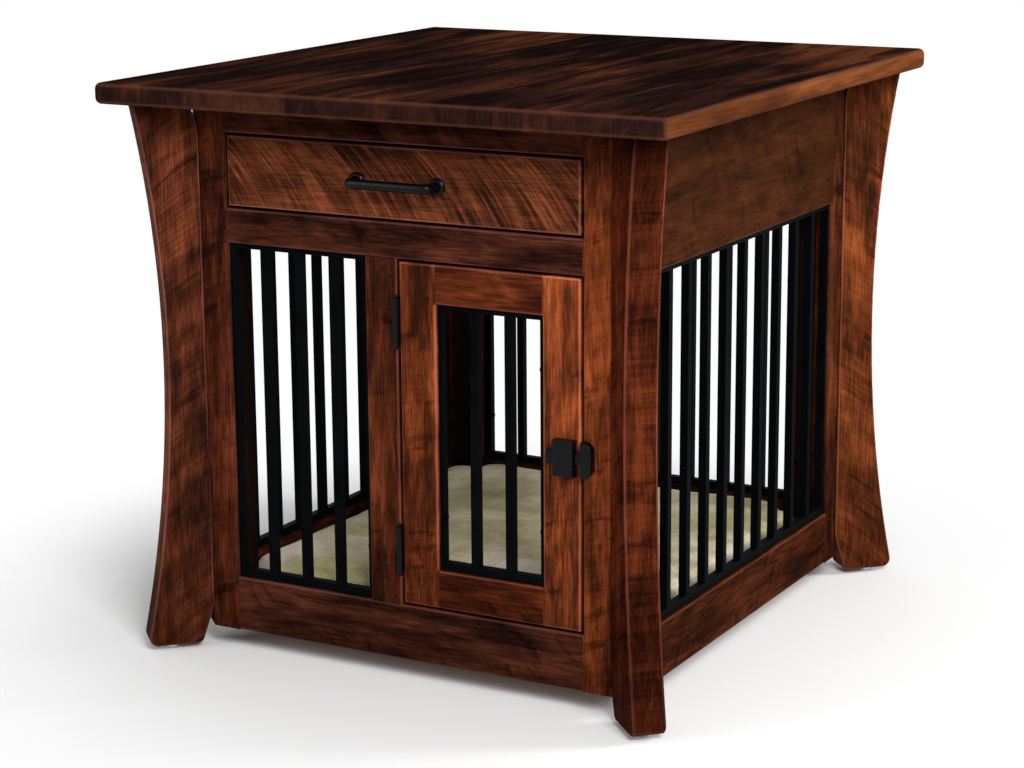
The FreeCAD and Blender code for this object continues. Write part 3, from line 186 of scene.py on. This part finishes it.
def weigh(tree, terms):
    """The sum of value times weight."""
    total = 0.0
    for value, weight in terms:
        total = flow(tree, "Math", {0: value, 1: weight, 2: total}, operation="MULTIPLY_ADD")
    return total


def facing_parts(tree, normal):
    """The sizes of a normal's three parts, and the largest of them: 1 on a flat face, less on
    an eased edge."""
    axes = put(tree, "SeparateXYZ", {"Vector": normal})
    sizes = [flow(tree, "Math", {0: axis}, operation="ABSOLUTE") for axis in axes.outputs]
    flat = flow(tree, "Math", {0: sizes[0], 1: sizes[1]}, operation="MAXIMUM")
    return sizes, flow(tree, "Math", {0: flat, 1: sizes[2]}, operation="MAXIMUM")


def saw_marks(tree, place, middle, grain, lean):
    """Marks of a circular saw that was fed along the grain: arcs that cross the board, with the
    given slope where they cross its middle line."""
    blade_radius = 0.28
    axes = put(tree, "SeparateXYZ", {"Vector": place})
    along, across = {"X": (0, 2), "Z": (2, 0)}[grain]
    slope = math.radians(lean)
    if grain == "X":
        hand = 1.0 if lean < 0.0 else -1.0
        blade_centre = middle[across] - blade_radius * math.cos(slope)
    else:
        hand = 1.0
        blade_centre = middle[across] + blade_radius * math.sin(slope)
    off = flow(tree, "Math", {0: axes.outputs[across], 1: blade_centre}, operation="SUBTRACT")
    squared = flow(tree, "Math", {0: off, 1: off}, operation="MULTIPLY")
    under = flow(tree, "Math", {0: blade_radius ** 2, 1: squared}, operation="SUBTRACT")
    least = flow(tree, "Math", {0: under, 1: 0.0004}, operation="MAXIMUM")
    rise = flow(tree, "Math", {0: least}, operation="SQRT")
    fed = flow(tree, "Math", {0: rise, 1: -hand, 2: axes.outputs[along]},
               operation="MULTIPLY_ADD")
    drawn_out = flow(tree, "Math", {0: axes.outputs[across], 1: 0.12}, operation="MULTIPLY")
    return flow(tree, "CombineXYZ", {"X": drawn_out, "Y": axes.outputs["Y"], "Z": fed})


def stained(name, node, tone, grain, seed, turned=0.0, lean=50.0, marks=0.3, score=0.35,
            calm=1.0, clipped=False):
    """Stained maple, with painted shade towards the floor, close under the top and inside the
    crate, and a painted highlight on its eased edges. tone is its mean screen colour, grain X or Z
    in the board's own plane, turned the angle of that plane, and lean the slope of the saw's
    marks. marks and score are their weights, calm evens the figure out, and a clipped piece has a
    face at 45 degrees that gets no painted edge highlight."""
    timber, tree = blank(name)
    low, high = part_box(node)
    middle = Matrix.Rotation(math.radians(-turned), 3, "Z") @ ((low + high) / 2)
    spots = put(tree, "TexCoord")
    facing = flow(tree, "VectorRotate", {"Vector": spots.outputs["Normal"],
                                         "Angle": math.radians(-turned)}, rotation_type="Z_AXIS")
    board = flow(tree, "VectorRotate", {"Vector": spots.outputs["Object"],
                                        "Angle": math.radians(-turned)}, rotation_type="Z_AXIS")
    place = flow(tree, "Mapping", {"Vector": board, "Location": (seed, 0.61 * seed, 0.37 * seed)})
    fine, loose, wide = {
        "X": ((0.07, 1.0, 1.0), (0.16, 1.0, 1.0), (0.38, 1.0, 1.0)),
        "Z": ((1.0, 1.0, 0.07), (1.0, 1.0, 0.16), (1.0, 1.0, 0.38)),
    }[grain]
    fibres = grain_noise(tree, place, fine, 480.0, 3.0, 0.0, 0.30, 0.70)
    figure = grain_noise(tree, place, loose, 50.0, 7.0, 1.0, 0.27, 0.73)
    clouds = grain_noise(tree, place, wide, 15.0, 5.0, 0.7, 0.26, 0.74)
    arcs = saw_marks(tree, board, middle, grain, lean)
    strokes = grain_noise(tree, arcs, (0.5, 0.03, 1.0), 230.0, 3.0, 0.0, 0.36, 0.64)
    bands = grain_noise(tree, arcs, (3.0, 0.2, 1.0), 30.0, 4.0, 0.5)
    nicks = grain_noise(tree, arcs, (2.5, 0.2, 1.0), 62.0, 5.0, 0.3, 0.60, 0.70)
    patches = grain_noise(tree, place, (1.0, 1.0, 1.0), 17.0, 3.0, 0.4, 0.40, 0.60)
    deep = flow(tree, "MapRange", {"Value": patches, "To Min": 0.3})
    swing = flow(tree, "Math", {0: strokes, 1: 0.5}, operation="SUBTRACT")
    scored = flow(tree, "Math", {0: swing, 1: deep, 2: 0.5}, operation="MULTIPLY_ADD")
    weights = (0.24, 0.34, 0.42 - 0.25 * marks, 0.5 * marks, score * marks)
    body = weigh(tree, zip((fibres, figure, clouds, bands, scored),
                           (w / sum(weights) for w in weights)))
    body = weigh(tree, ((body, 1.0), (nicks, -0.16)))
    depth = flow(tree, "MapRange", {"Value": body, "From Min": 0.49 - 0.205 / calm,
                                    "From Max": 0.49 + 0.205 / calm})
    stain = ramp(tree, depth, (
        (0.0, shade(*tone, (0.22, 0.30, 0.42))), (0.25, shade(*tone, (0.50, 0.54, 0.62))),
        (0.5, shade(*tone, (0.98, 0.96, 0.94))), (0.78, shade(*tone, (1.75, 1.70, 1.5))),
        (1.0, shade(*tone, (2.7, 2.7, 2.3))),
    ))
    # painted highlight: the eased edges are mixed, in patches, towards a light pinkish brown
    sizes, flat = facing_parts(tree, facing)
    if clipped:
        diagonal = weigh(tree, ((sizes[0], 0.7071), (sizes[1], 0.7071)))
        flat = flow(tree, "Math", {0: flat, 1: diagonal}, operation="MAXIMUM")
    edge_highlight_mask = flow(tree, "MapRange", {"Value": flat, "From Min": 0.985, "From Max": 0.86,
                                   "To Max": 0.8})
    painted_edge_highlight = flow(tree, "Math", {0: edge_highlight_mask, 1: weigh(tree, ((figure, 0.7), (clouds, 0.8)))},
                  operation="MULTIPLY", use_clamp=True)
    colour = flow(tree, "MixRGB", {"Fac": painted_edge_highlight, "Color1": stain,
                                   "Color2": shade(*tone, (3.8, 4.8, 7.5))})
    # painted shade: the colour is darkened near the floor and close under the top, and inside the
    # crate it is mixed almost to black
    spot = put(tree, "SeparateXYZ", {"Vector": spots.outputs["Object"]})
    painted_shade_by_height = ramp(tree, spot.outputs["Z"], (
        (0.0, (0.45, 0.45, 0.48, 1.0)), (0.22, (0.9, 0.9, 0.9, 1.0)),
        (0.4, (1.0, 1.0, 1.0, 1.0)), (0.58, (1.0, 1.0, 1.0, 1.0)),
        (0.635, (0.4, 0.4, 0.42, 1.0)),
    ))
    colour = flow(tree, "MixRGB", {"Fac": 1.0, "Color1": colour, "Color2": painted_shade_by_height},
                  blend_type="MULTIPLY")
    # painted shade inside the crate: points within the crate's frame are mixed almost wholly to
    # near black
    within = []
    for axis, reach in (("X", 0.2605), ("Y", 0.2825)):
        far = flow(tree, "Math", {0: spot.outputs[axis]}, operation="ABSOLUTE")
        within.append(flow(tree, "Math", {0: far, 1: reach}, operation="LESS_THAN"))
    inner = flow(tree, "Math", {0: within[0], 1: within[1]}, operation="MULTIPLY")
    painted_shade_inside = flow(tree, "Math", {0: inner, 1: 0.94}, operation="MULTIPLY")
    colour = flow(tree, "MixRGB", {"Fac": painted_shade_inside, "Color1": colour, "Color2": shade(16, 11, 9)})
    gloss = flow(tree, "MapRange", {"Value": body, "To Min": 0.62, "To Max": 0.5})
    relief = weigh(tree, ((fibres, 0.4), (strokes, 0.8 * marks), (figure, 0.5)))
    bumps = flow(tree, "Bump", {"Height": relief, "Strength": 0.3, "Distance": 0.0006})
    skin = flow(tree, "BsdfPrincipled", {"Base Color": colour, "Roughness": gloss,
                                         "Specular IOR Level": 0.004, "Normal": bumps})
    put(tree, "OutputMaterial", {"Surface": skin})
    return timber


def dress(node, finish):
    """Gives a frame piece its finish."""
    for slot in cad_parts[node].material_slots:
        slot.material = finish


for corner, turned, seed, lean, tone, post_tone in (
    ("front_left", 45.0, 3.1, 36.0, (76, 37, 23), (67, 30, 17)),
    ("front_right", -45.0, 7.4, 30.0, (62, 25, 12), (101, 47, 23)),
    ("back_left", -45.0, 11.9, 35.0, (66, 32, 20), (60, 27, 15)),
    ("back_right", 45.0, 15.2, -38.0, (90, 44, 22), (72, 34, 18)),
):
    leg, post = "leg_" + corner, "post_" + corner
    dress(leg, stained(leg + "_wood", leg, tone, "Z", seed, turned, lean, 0.4))
    dress(post, stained(post + "_wood", post, post_tone, "Z", seed + 1.3, 0.0, 20.0, 0.22,
                        clipped=True))


# Case frame: the rails, stile and aprons between the posts, of the same maple, each cut from its
# own board. The faces lie flush, and the edges round each opening are eased and carry a painted
# highlight.
for rail, turned, grain, seed, lean, marks, tone in (
    ("front_top_rail", 0.0, "X", 21.3, -50.0, 0.4, (56, 27, 18)),
    ("front_middle_rail", 0.0, "X", 23.8, -60.0, 0.1, (52, 25, 17)),
    ("front_bottom_rail", 0.0, "X", 26.1, -55.0, 0.14, (62, 31, 21)),
    ("centre_stile", 0.0, "Z", 28.7, 12.0, 0.16, (70, 32, 18)),
    ("left_apron", 90.0, "X", 31.2, 60.0, 0.25, (74, 38, 22)),
    ("right_apron", 90.0, "X", 33.5, -62.0, 0.25, (56, 28, 13)),
    ("left_bottom_rail", 90.0, "X", 36.4, 50.0, 0.2, (68, 34, 21)),
    ("right_bottom_rail", 90.0, "X", 38.6, 55.0, 0.2, (66, 30, 14)),
    ("back_apron", 0.0, "X", 41.9, 50.0, 0.25, (74, 38, 23)),
    ("back_bottom_rail", 0.0, "X", 44.3, 50.0, 0.2, (68, 34, 22)),
):
    dress(rail, stained(rail + "_wood", rail, tone, grain, seed, turned, lean, marks,
                        calm=0.55 if "apron" in rail else 1.0))


# Tabletop: five wide maple boards glued edge to edge, their grain running front to back, planed
# smooth, stained darkest of all and finished dull. Each board has its own tone, so the glue lines
# show as steps of tone; the side faces are coloured lighter and warmer, and the eased edges carry
# a painted highlight.
def glued_top():
    """The slab's wood: a board's own tone also shifts its figure, so no two boards match."""
    slab, tree = blank("tabletop_wood")
    spots = put(tree, "TexCoord")
    axes = put(tree, "SeparateXYZ", {"Vector": spots.outputs["Object"]})
    across = flow(tree, "MapRange", {"Value": axes.outputs["X"], "From Min": -0.353,
                                     "From Max": 0.353})
    own_tone = ramp(tree, across, (
        (0.0, (0.35, 0.35, 0.35, 1.0)), (0.173, (0.72, 0.72, 0.72, 1.0)),
        (0.362, (0.22, 0.22, 0.22, 1.0)), (0.561, (0.6, 0.6, 0.6, 1.0)),
        (0.755, (0.46, 0.46, 0.46, 1.0)),
    ), "CONSTANT")
    shift_x = flow(tree, "Math", {0: own_tone, 1: 3.0}, operation="MULTIPLY")
    shift_y = flow(tree, "Math", {0: own_tone, 1: 7.0}, operation="MULTIPLY")
    apart = flow(tree, "CombineXYZ", {"X": shift_x, "Y": shift_y})
    place = flow(tree, "VectorMath", {0: spots.outputs["Object"], 1: apart}, operation="ADD")
    fibres = grain_noise(tree, place, (1.0, 0.04, 1.0), 480.0, 2.0)
    figure = grain_noise(tree, place, (1.0, 0.09, 1.0), 38.0, 4.0, 0.9)
    clouds = grain_noise(tree, place, (1.0, 0.3, 1.0), 10.0, 4.0, 0.5)
    body = weigh(tree, ((fibres, 0.14), (figure, 0.38), (clouds, 0.34), (own_tone, 0.16)))
    depth = flow(tree, "MapRange", {"Value": body, "From Min": 0.26, "From Max": 0.76})
    stain = ramp(tree, depth, (
        (0.0, shade(20, 13, 12)), (0.3, shade(30, 18, 16)), (0.55, shade(48, 27, 22)),
        (0.8, shade(70, 37, 25)), (1.0, shade(96, 53, 32)),
    ))
    sizes, flat = facing_parts(tree, spots.outputs["Normal"])
    side_edge = flow(tree, "MapRange", {"Value": sizes[0], "From Min": 0.45, "From Max": 0.9})
    side_share = flow(tree, "Math", {0: side_edge, 1: 0.8}, operation="MULTIPLY")
    long_edge = ramp(tree, depth, (
        (0.0, shade(66, 34, 20)), (0.5, shade(98, 53, 26)), (1.0, shade(138, 82, 44)),
    ))
    warm = flow(tree, "MixRGB", {"Fac": side_share, "Color1": stain, "Color2": long_edge})
    end_grain = flow(tree, "MapRange", {"Value": sizes[1], "From Min": 0.45, "From Max": 0.9,
                                        "To Max": 0.75})
    pores = grain_noise(tree, place, (1.0, 1.0, 0.12), 190.0, 3.0)
    ends = ramp(tree, weigh(tree, ((pores, 0.3), (clouds, 0.3), (own_tone, 0.6))), (
        (0.0, shade(20, 12, 11)), (0.5, shade(32, 18, 16)), (1.0, shade(70, 38, 26)),
    ))
    warm = flow(tree, "MixRGB", {"Fac": end_grain, "Color1": warm, "Color2": ends})
    # painted highlight: the slab's eased edges are mixed towards a light pinkish brown
    edge_highlight_mask = flow(tree, "MapRange", {"Value": flat, "From Min": 0.97, "From Max": 0.8,
                                   "To Max": 0.4})
    colour = flow(tree, "MixRGB", {"Fac": edge_highlight_mask, "Color1": warm, "Color2": shade(100, 58, 44)})
    gloss = flow(tree, "MapRange", {"Value": body, "To Min": 0.7, "To Max": 0.6})
    bumps = flow(tree, "Bump", {"Height": fibres, "Strength": 0.2, "Distance": 0.0004})
    skin = flow(tree, "BsdfPrincipled", {"Base Color": colour, "Roughness": gloss,
                                         "Specular IOR Level": 0.0, "Normal": bumps})
    put(tree, "OutputMaterial", {"Surface": skin})
    return slab


dress("tabletop", glued_top())


# Drawer: an inset maple front with the deepest saw marks of the table, on a plain unstained box
# that runs on two steel slides.
dress("drawer_front", stained("drawer_front_wood", "drawer_front", (79, 40, 24), "X", 51.7, 0.0,
                              -52.0, 0.62, 0.85))


def bare_wood(name, tone, grain, seed, turned=0.0):
    """Plain unstained wood, sanded, with a thin clear seal."""
    timber, tree = blank(name)
    spots = put(tree, "TexCoord").outputs["Object"]
    board = flow(tree, "VectorRotate", {"Vector": spots, "Angle": math.radians(-turned)},
                 rotation_type="Z_AXIS")
    place = flow(tree, "Mapping", {"Vector": board, "Location": (seed, 0.61 * seed, 0.0)})
    fine, loose = {
        "X": ((0.04, 1.0, 1.0), (0.12, 1.0, 1.0)), "Z": ((1.0, 1.0, 0.04), (1.0, 1.0, 0.12)),
    }[grain]
    fibres = grain_noise(tree, place, fine, 460.0, 2.0)
    figure = grain_noise(tree, place, loose, 40.0, 4.0, 1.2)
    body = weigh(tree, ((fibres, 0.3), (figure, 0.7)))
    colour = ramp(tree, body, (
        (0.0, shade(*tone, (0.62, 0.58, 0.52))), (0.5, shade(*tone)),
        (1.0, shade(*tone, (1.18, 1.2, 1.24))),
    ))
    gloss = flow(tree, "MapRange", {"Value": figure, "To Min": 0.55, "To Max": 0.42})
    bumps = flow(tree, "Bump", {"Height": fibres, "Strength": 0.2, "Distance": 0.0003})
    skin = flow(tree, "BsdfPrincipled", {"Base Color": colour, "Roughness": gloss,
                                         "Specular IOR Level": 0.3, "Normal": bumps})
    put(tree, "OutputMaterial", {"Surface": skin})
    return timber


for board, turned, seed in (
    ("drawer_box_front", 0.0, 61.0), ("drawer_box_back", 0.0, 62.3),
    ("drawer_side_left", 90.0, 63.1), ("drawer_side_right", 90.0, 64.9),
    ("drawer_bottom", 0.0, 66.2), ("floor_panel", 0.0, 67.4), ("dust_panel", 0.0, 68.8),
    ("panel_cleats", 90.0, 70.1), ("top_cleats", 90.0, 71.5), ("slide_packing", 90.0, 72.9),
):
    dress(board, bare_wood(board + "_wood", (150, 112, 74), "X", seed, turned))


# Steel: the grilles, hinges, latch and pull are black, powder coated or japanned, with a faint
# orange peel, and so are the screws beside them. The slides, the glides, the latch's spring and
# the screws that nobody sees are zinc plated.
def coated_steel(name, tone, peel, gloss, shine):
    """Black coated steel; peel is how fine its orange peel is, gloss its roughness."""
    metal, tree = blank(name)
    spots = put(tree, "TexCoord").outputs["Object"]
    orange_peel = grain_noise(tree, spots, (1.0, 1.0, 1.0), peel, 2.0)
    handled = grain_noise(tree, spots, (1.0, 1.0, 1.0), 22.0, 4.0)
    colour = ramp(tree, handled, ((0.0, shade(*tone, (0.7, 0.7, 0.7))),
                                  (1.0, shade(*tone, (1.4, 1.35, 1.3)))))
    rough = flow(tree, "MapRange", {"Value": handled, "To Min": gloss - 0.05,
                                    "To Max": gloss + 0.08})
    bumps = flow(tree, "Bump", {"Height": orange_peel, "Strength": 0.12, "Distance": 0.0002})
    skin = flow(tree, "BsdfPrincipled", {"Base Color": colour, "Roughness": rough,
                                         "Specular IOR Level": shine, "Normal": bumps})
    put(tree, "OutputMaterial", {"Surface": skin})
    return metal


def zinc_plate(name):
    """Bright plated steel, faintly spangled and drawn."""
    metal, tree = blank(name)
    spots = put(tree, "TexCoord").outputs["Object"]
    spangle = grain_noise(tree, spots, (1.0, 1.0, 1.0), 140.0, 3.0)
    drawn = grain_noise(tree, spots, (1.0, 0.05, 1.0), 900.0, 2.0)
    colour = ramp(tree, spangle, ((0.0, (0.46, 0.47, 0.49, 1.0)), (1.0, (0.63, 0.64, 0.66, 1.0))))
    rough = flow(tree, "MapRange", {"Value": drawn, "To Min": 0.24, "To Max": 0.42})
    bumps = flow(tree, "Bump", {"Height": drawn, "Strength": 0.1, "Distance": 0.0002})
    skin = flow(tree, "BsdfPrincipled", {"Base Color": colour, "Metallic": 1.0,
                                         "Roughness": rough, "Normal": bumps})
    put(tree, "OutputMaterial", {"Surface": skin})
    return metal


grille_black = coated_steel("grille_black", (4, 6, 8), 900.0, 0.5, 0.01)
fitting_black = coated_steel("fitting_black", (3, 5, 9), 1500.0, 0.22, 0.12)
plated = zinc_plate("zinc_plate")
for finish, nodes in (
    (grille_black, ("front_grille", "door_grille", "left_grille", "right_grille",
                    "back_grille", "short_screws", "door_grille_screws")),
    (fitting_black, ("hinge_door_leaves", "hinge_frame_leaves", "hinge_pins",
                     "hinge_door_screws", "hinge_frame_screws", "latch_case", "latch_bolt",
                     "latch_strike", "latch_screws", "strike_screws")),
    (plated, ("leg_screws", "pull_screws", "glides", "slide_cabinet_members",
              "slide_middle_members", "slide_drawer_members", "latch_spring")),
):
    for node in nodes:
        dress(node, finish)


# Pull: a cast black bow. Its bar bends back at each end, with a wide round corner, to a domed
# round flange on the drawer's face.
pull_low, pull_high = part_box("drawer_pull")
flange_radius, flange_depth = 0.0095, 0.003
bar_radius = 0.0054
foot = (pull_high.x - pull_low.x) / 2 - flange_radius
height = (pull_low.z + pull_high.z) / 2
face = pull_high.y
seat = face - 0.0005
bend = 0.0100
off = 0.0216 - bend
quarter_turn = math.radians(-90.0)
upright_axis = (0.0, 0.0, 1.0)
facing_front = (math.radians(90.0), 0.0, 0.0)
bpy.ops.object.select_all(action="DESELECT")
bpy.ops.mesh.primitive_circle_add(vertices=28, radius=bar_radius, fill_type="NGON",
                                  location=(-foot, seat, height), rotation=facing_front)
bow = bpy.context.object
bow.name = "pull_bow"
bpy.ops.object.transform_apply(location=True, rotation=True, scale=True)
bpy.ops.object.mode_set(mode="EDIT")
bpy.ops.mesh.select_all(action="SELECT")
bpy.ops.mesh.extrude_region_move(TRANSFORM_OT_translate={"value": (0.0, -off, 0.0)})
bpy.ops.mesh.spin(steps=10, angle=quarter_turn, axis=upright_axis,
                  center=(bend - foot, seat - off, height))
bpy.ops.mesh.extrude_region_move(TRANSFORM_OT_translate={"value": (2 * (foot - bend), 0, 0)})
bpy.ops.mesh.spin(steps=10, angle=quarter_turn, axis=upright_axis,
                  center=(foot - bend, seat - off, height))
bpy.ops.mesh.extrude_region_move(TRANSFORM_OT_translate={"value": (0.0, off, 0.0)})
bpy.ops.mesh.select_all(action="SELECT")
bpy.ops.mesh.normals_make_consistent(inside=False)
bpy.ops.object.mode_set(mode="OBJECT")
bar_y = seat - off - bend

# the necks flare towards their flanges, and the bar between them is a little flattened
for point in bow.data.vertices:
    if point.co.y > face - off:
        neck = math.copysign(foot, point.co.x)
        flare = 1.0 + 0.4 * (point.co.y - face + off) / off
        point.co.x = neck + flare * (point.co.x - neck)
        point.co.z = height + flare * (point.co.z - height)
    if abs(point.co.x) < foot - 0.2 * bend and point.co.y < face - off:
        point.co.y = bar_y + 0.8 * (point.co.y - bar_y)
flanges = []
for hand in (-1, 1):
    bpy.ops.object.select_all(action="DESELECT")
    bpy.ops.mesh.primitive_cylinder_add(vertices=40, radius=flange_radius, depth=flange_depth,
                                        location=(hand * foot, face - flange_depth / 2, height),
                                        rotation=facing_front)
    flange = bpy.context.object
    bpy.ops.object.transform_apply(location=True, rotation=True, scale=True)
    bpy.ops.object.mode_set(mode="EDIT")
    bpy.ops.mesh.select_all(action="DESELECT")
    bpy.ops.object.mode_set(mode="OBJECT")
    for disc in flange.data.polygons:
        disc.select = disc.normal.y < -0.9
    bpy.ops.object.mode_set(mode="EDIT")
    for inward, outward in ((0.0012, 0.0011), (0.0020, 0.0012)):
        bpy.ops.mesh.inset(thickness=inward)
        bpy.ops.transform.translate(value=(0.0, -outward, 0.0))
    bpy.ops.object.mode_set(mode="OBJECT")
    flanges.append(flange)
bpy.ops.object.select_all(action="DESELECT")
for flange in flanges:
    flange.select_set(True)
bow.select_set(True)
bpy.context.view_layer.objects.active = bow
bpy.ops.object.join()
bpy.ops.object.shade_smooth_by_angle(angle=math.radians(40.0))
bow.data.materials.clear()
bow.data.materials.append(fitting_black)
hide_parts("drawer_pull")
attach(bow, "drawer")


# Door: two stiles and two rails of the same maple round a small grille, its stiles the
# lightest boards of the front.
for part, grain, seed, lean, tone in (
    ("door_hinge_stile", "Z", 81.2, 15.0, (91, 42, 21)),
    ("door_latch_stile", "Z", 83.6, 20.0, (110, 52, 27)),
    ("door_top_rail", "X", 86.4, -60.0, (71, 31, 16)),
    ("door_bottom_rail", "X", 88.9, -55.0, (80, 35, 18)),
):
    dress(part, stained(part + "_wood", part, tone, grain, seed, 0.0, lean, 0.15))


# Pad: a loose padded mat on the crate's floor, notched round the posts, in undyed linen canvas
# over wadding. A cloth simulation fills it softly, so that its top is crowned and a little uneven.
def linen(name):
    """Undyed canvas: a plain weave with slubs, with broad patches of painted shade and light."""
    cloth, tree = blank(name)
    spots = put(tree, "TexCoord").outputs["Object"]
    warp, weft = (
        flow(tree, "TexWave", {"Vector": spots, "Scale": 210.0, "Distortion": 0.6,
                               "Detail": 1.0, "Detail Scale": 3.0}, bands_direction=run)
        for run in ("X", "Y")
    )
    weave = flow(tree, "Math", {0: warp, 1: weft}, operation="MULTIPLY")
    slubs_x = grain_noise(tree, spots, (0.06, 1.0, 1.0), 330.0, 2.0)
    slubs_y = grain_noise(tree, spots, (1.0, 0.06, 1.0), 330.0, 2.0)
    painted_shade_and_light = grain_noise(tree, spots, (1.0, 1.0, 1.0), 7.0, 4.0, 0.5)
    mix = weigh(tree, ((slubs_x, 0.14), (slubs_y, 0.14), (painted_shade_and_light, 0.6), (weave, 0.12)))
    # painted shade and light: the broad patches run from an olive shade to a pale pinkish grey
    colour = ramp(tree, mix, ((0.1, shade(138, 130, 78)), (0.45, shade(190, 181, 134)),
                              (0.75, shade(226, 214, 192))))
    relief = weigh(tree, ((weave, 0.7), (slubs_x, 0.3), (slubs_y, 0.3)))
    bumps = flow(tree, "Bump", {"Height": relief, "Strength": 0.5, "Distance": 0.0006})
    skin = flow(tree, "BsdfPrincipled", {"Base Color": colour, "Roughness": 0.9,
                                         "Specular IOR Level": 0.15, "Sheen Weight": 0.15,
                                         "Sheen Roughness": 0.5, "Normal": bumps})
    put(tree, "OutputMaterial", {"Surface": skin})
    return cloth


canvas = linen("pad_linen")
pad_low, pad_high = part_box("floor_pad")
pad = bpy.data.objects.new("pad_cover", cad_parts["floor_pad"].data.copy())
bpy.context.scene.collection.objects.link(pad)
slack_x, slack_y, slack_z = 0.986, 0.987, 0.87
underside = pad_low.z + 0.003
shape = bmesh.new()
shape.from_mesh(pad.data)
bmesh.ops.remove_doubles(shape, verts=shape.verts, dist=0.00001)
for point in shape.verts:
    point.co.x *= slack_x
    point.co.y *= slack_y
    point.co.z = underside + slack_z * (point.co.z - pad_low.z)
shape.to_mesh(pad.data)
shape.free()
bpy.ops.object.select_all(action="DESELECT")
pad.select_set(True)
bpy.context.view_layer.objects.active = pad
pad.data.remesh_voxel_size = 0.006
bpy.ops.object.voxel_remesh()
start = [vertex.co.copy() for vertex in pad.data.vertices]
stuffing = pad.modifiers.new("stuffing", "CLOTH")
stuffing.settings.use_pressure = True
stuffing.settings.uniform_pressure_force = 4.0
stuffing.settings.quality = 5
stuffing.settings.effector_weights.gravity = 0.0
stuffing.settings.tension_stiffness = 12.0
stuffing.settings.compression_stiffness = 6.0
stuffing.settings.bending_stiffness = 0.3
for number in range(1, 21):
    bpy.context.scene.frame_set(number)
bpy.ops.object.modifier_apply(modifier="stuffing")
bpy.context.scene.frame_set(1)
furthest = max((vertex.co - before).length for vertex, before in zip(pad.data.vertices, start))
print("pad: longest move", round(furthest * 1000, 1), "mm,", len(pad.data.vertices), "points")
fullness = 0.25
longest_step = 0.005
for vertex, before in zip(pad.data.vertices, start):
    step = (vertex.co - before) * fullness
    if step.length > longest_step:
        step = step * (longest_step / step.length)
    vertex.co = before + step
    if before.z > pad_low.z + 0.03:
        vertex.co.z += 0.0016 * noise.noise(before * 13.0) + 0.0007 * noise.noise(before * 37.0)
    for axis in range(3):
        vertex.co[axis] = min(max(vertex.co[axis], pad_low[axis]), pad_high[axis])
smooth = pad.modifiers.new("smooth", "SUBSURF")
smooth.levels = 1
smooth.render_levels = 1
bpy.ops.object.modifier_apply(modifier="smooth")
bpy.ops.object.shade_smooth()
pad.data.materials.clear()
pad.data.materials.append(canvas)
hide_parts("floor_pad")
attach(pad, "case")
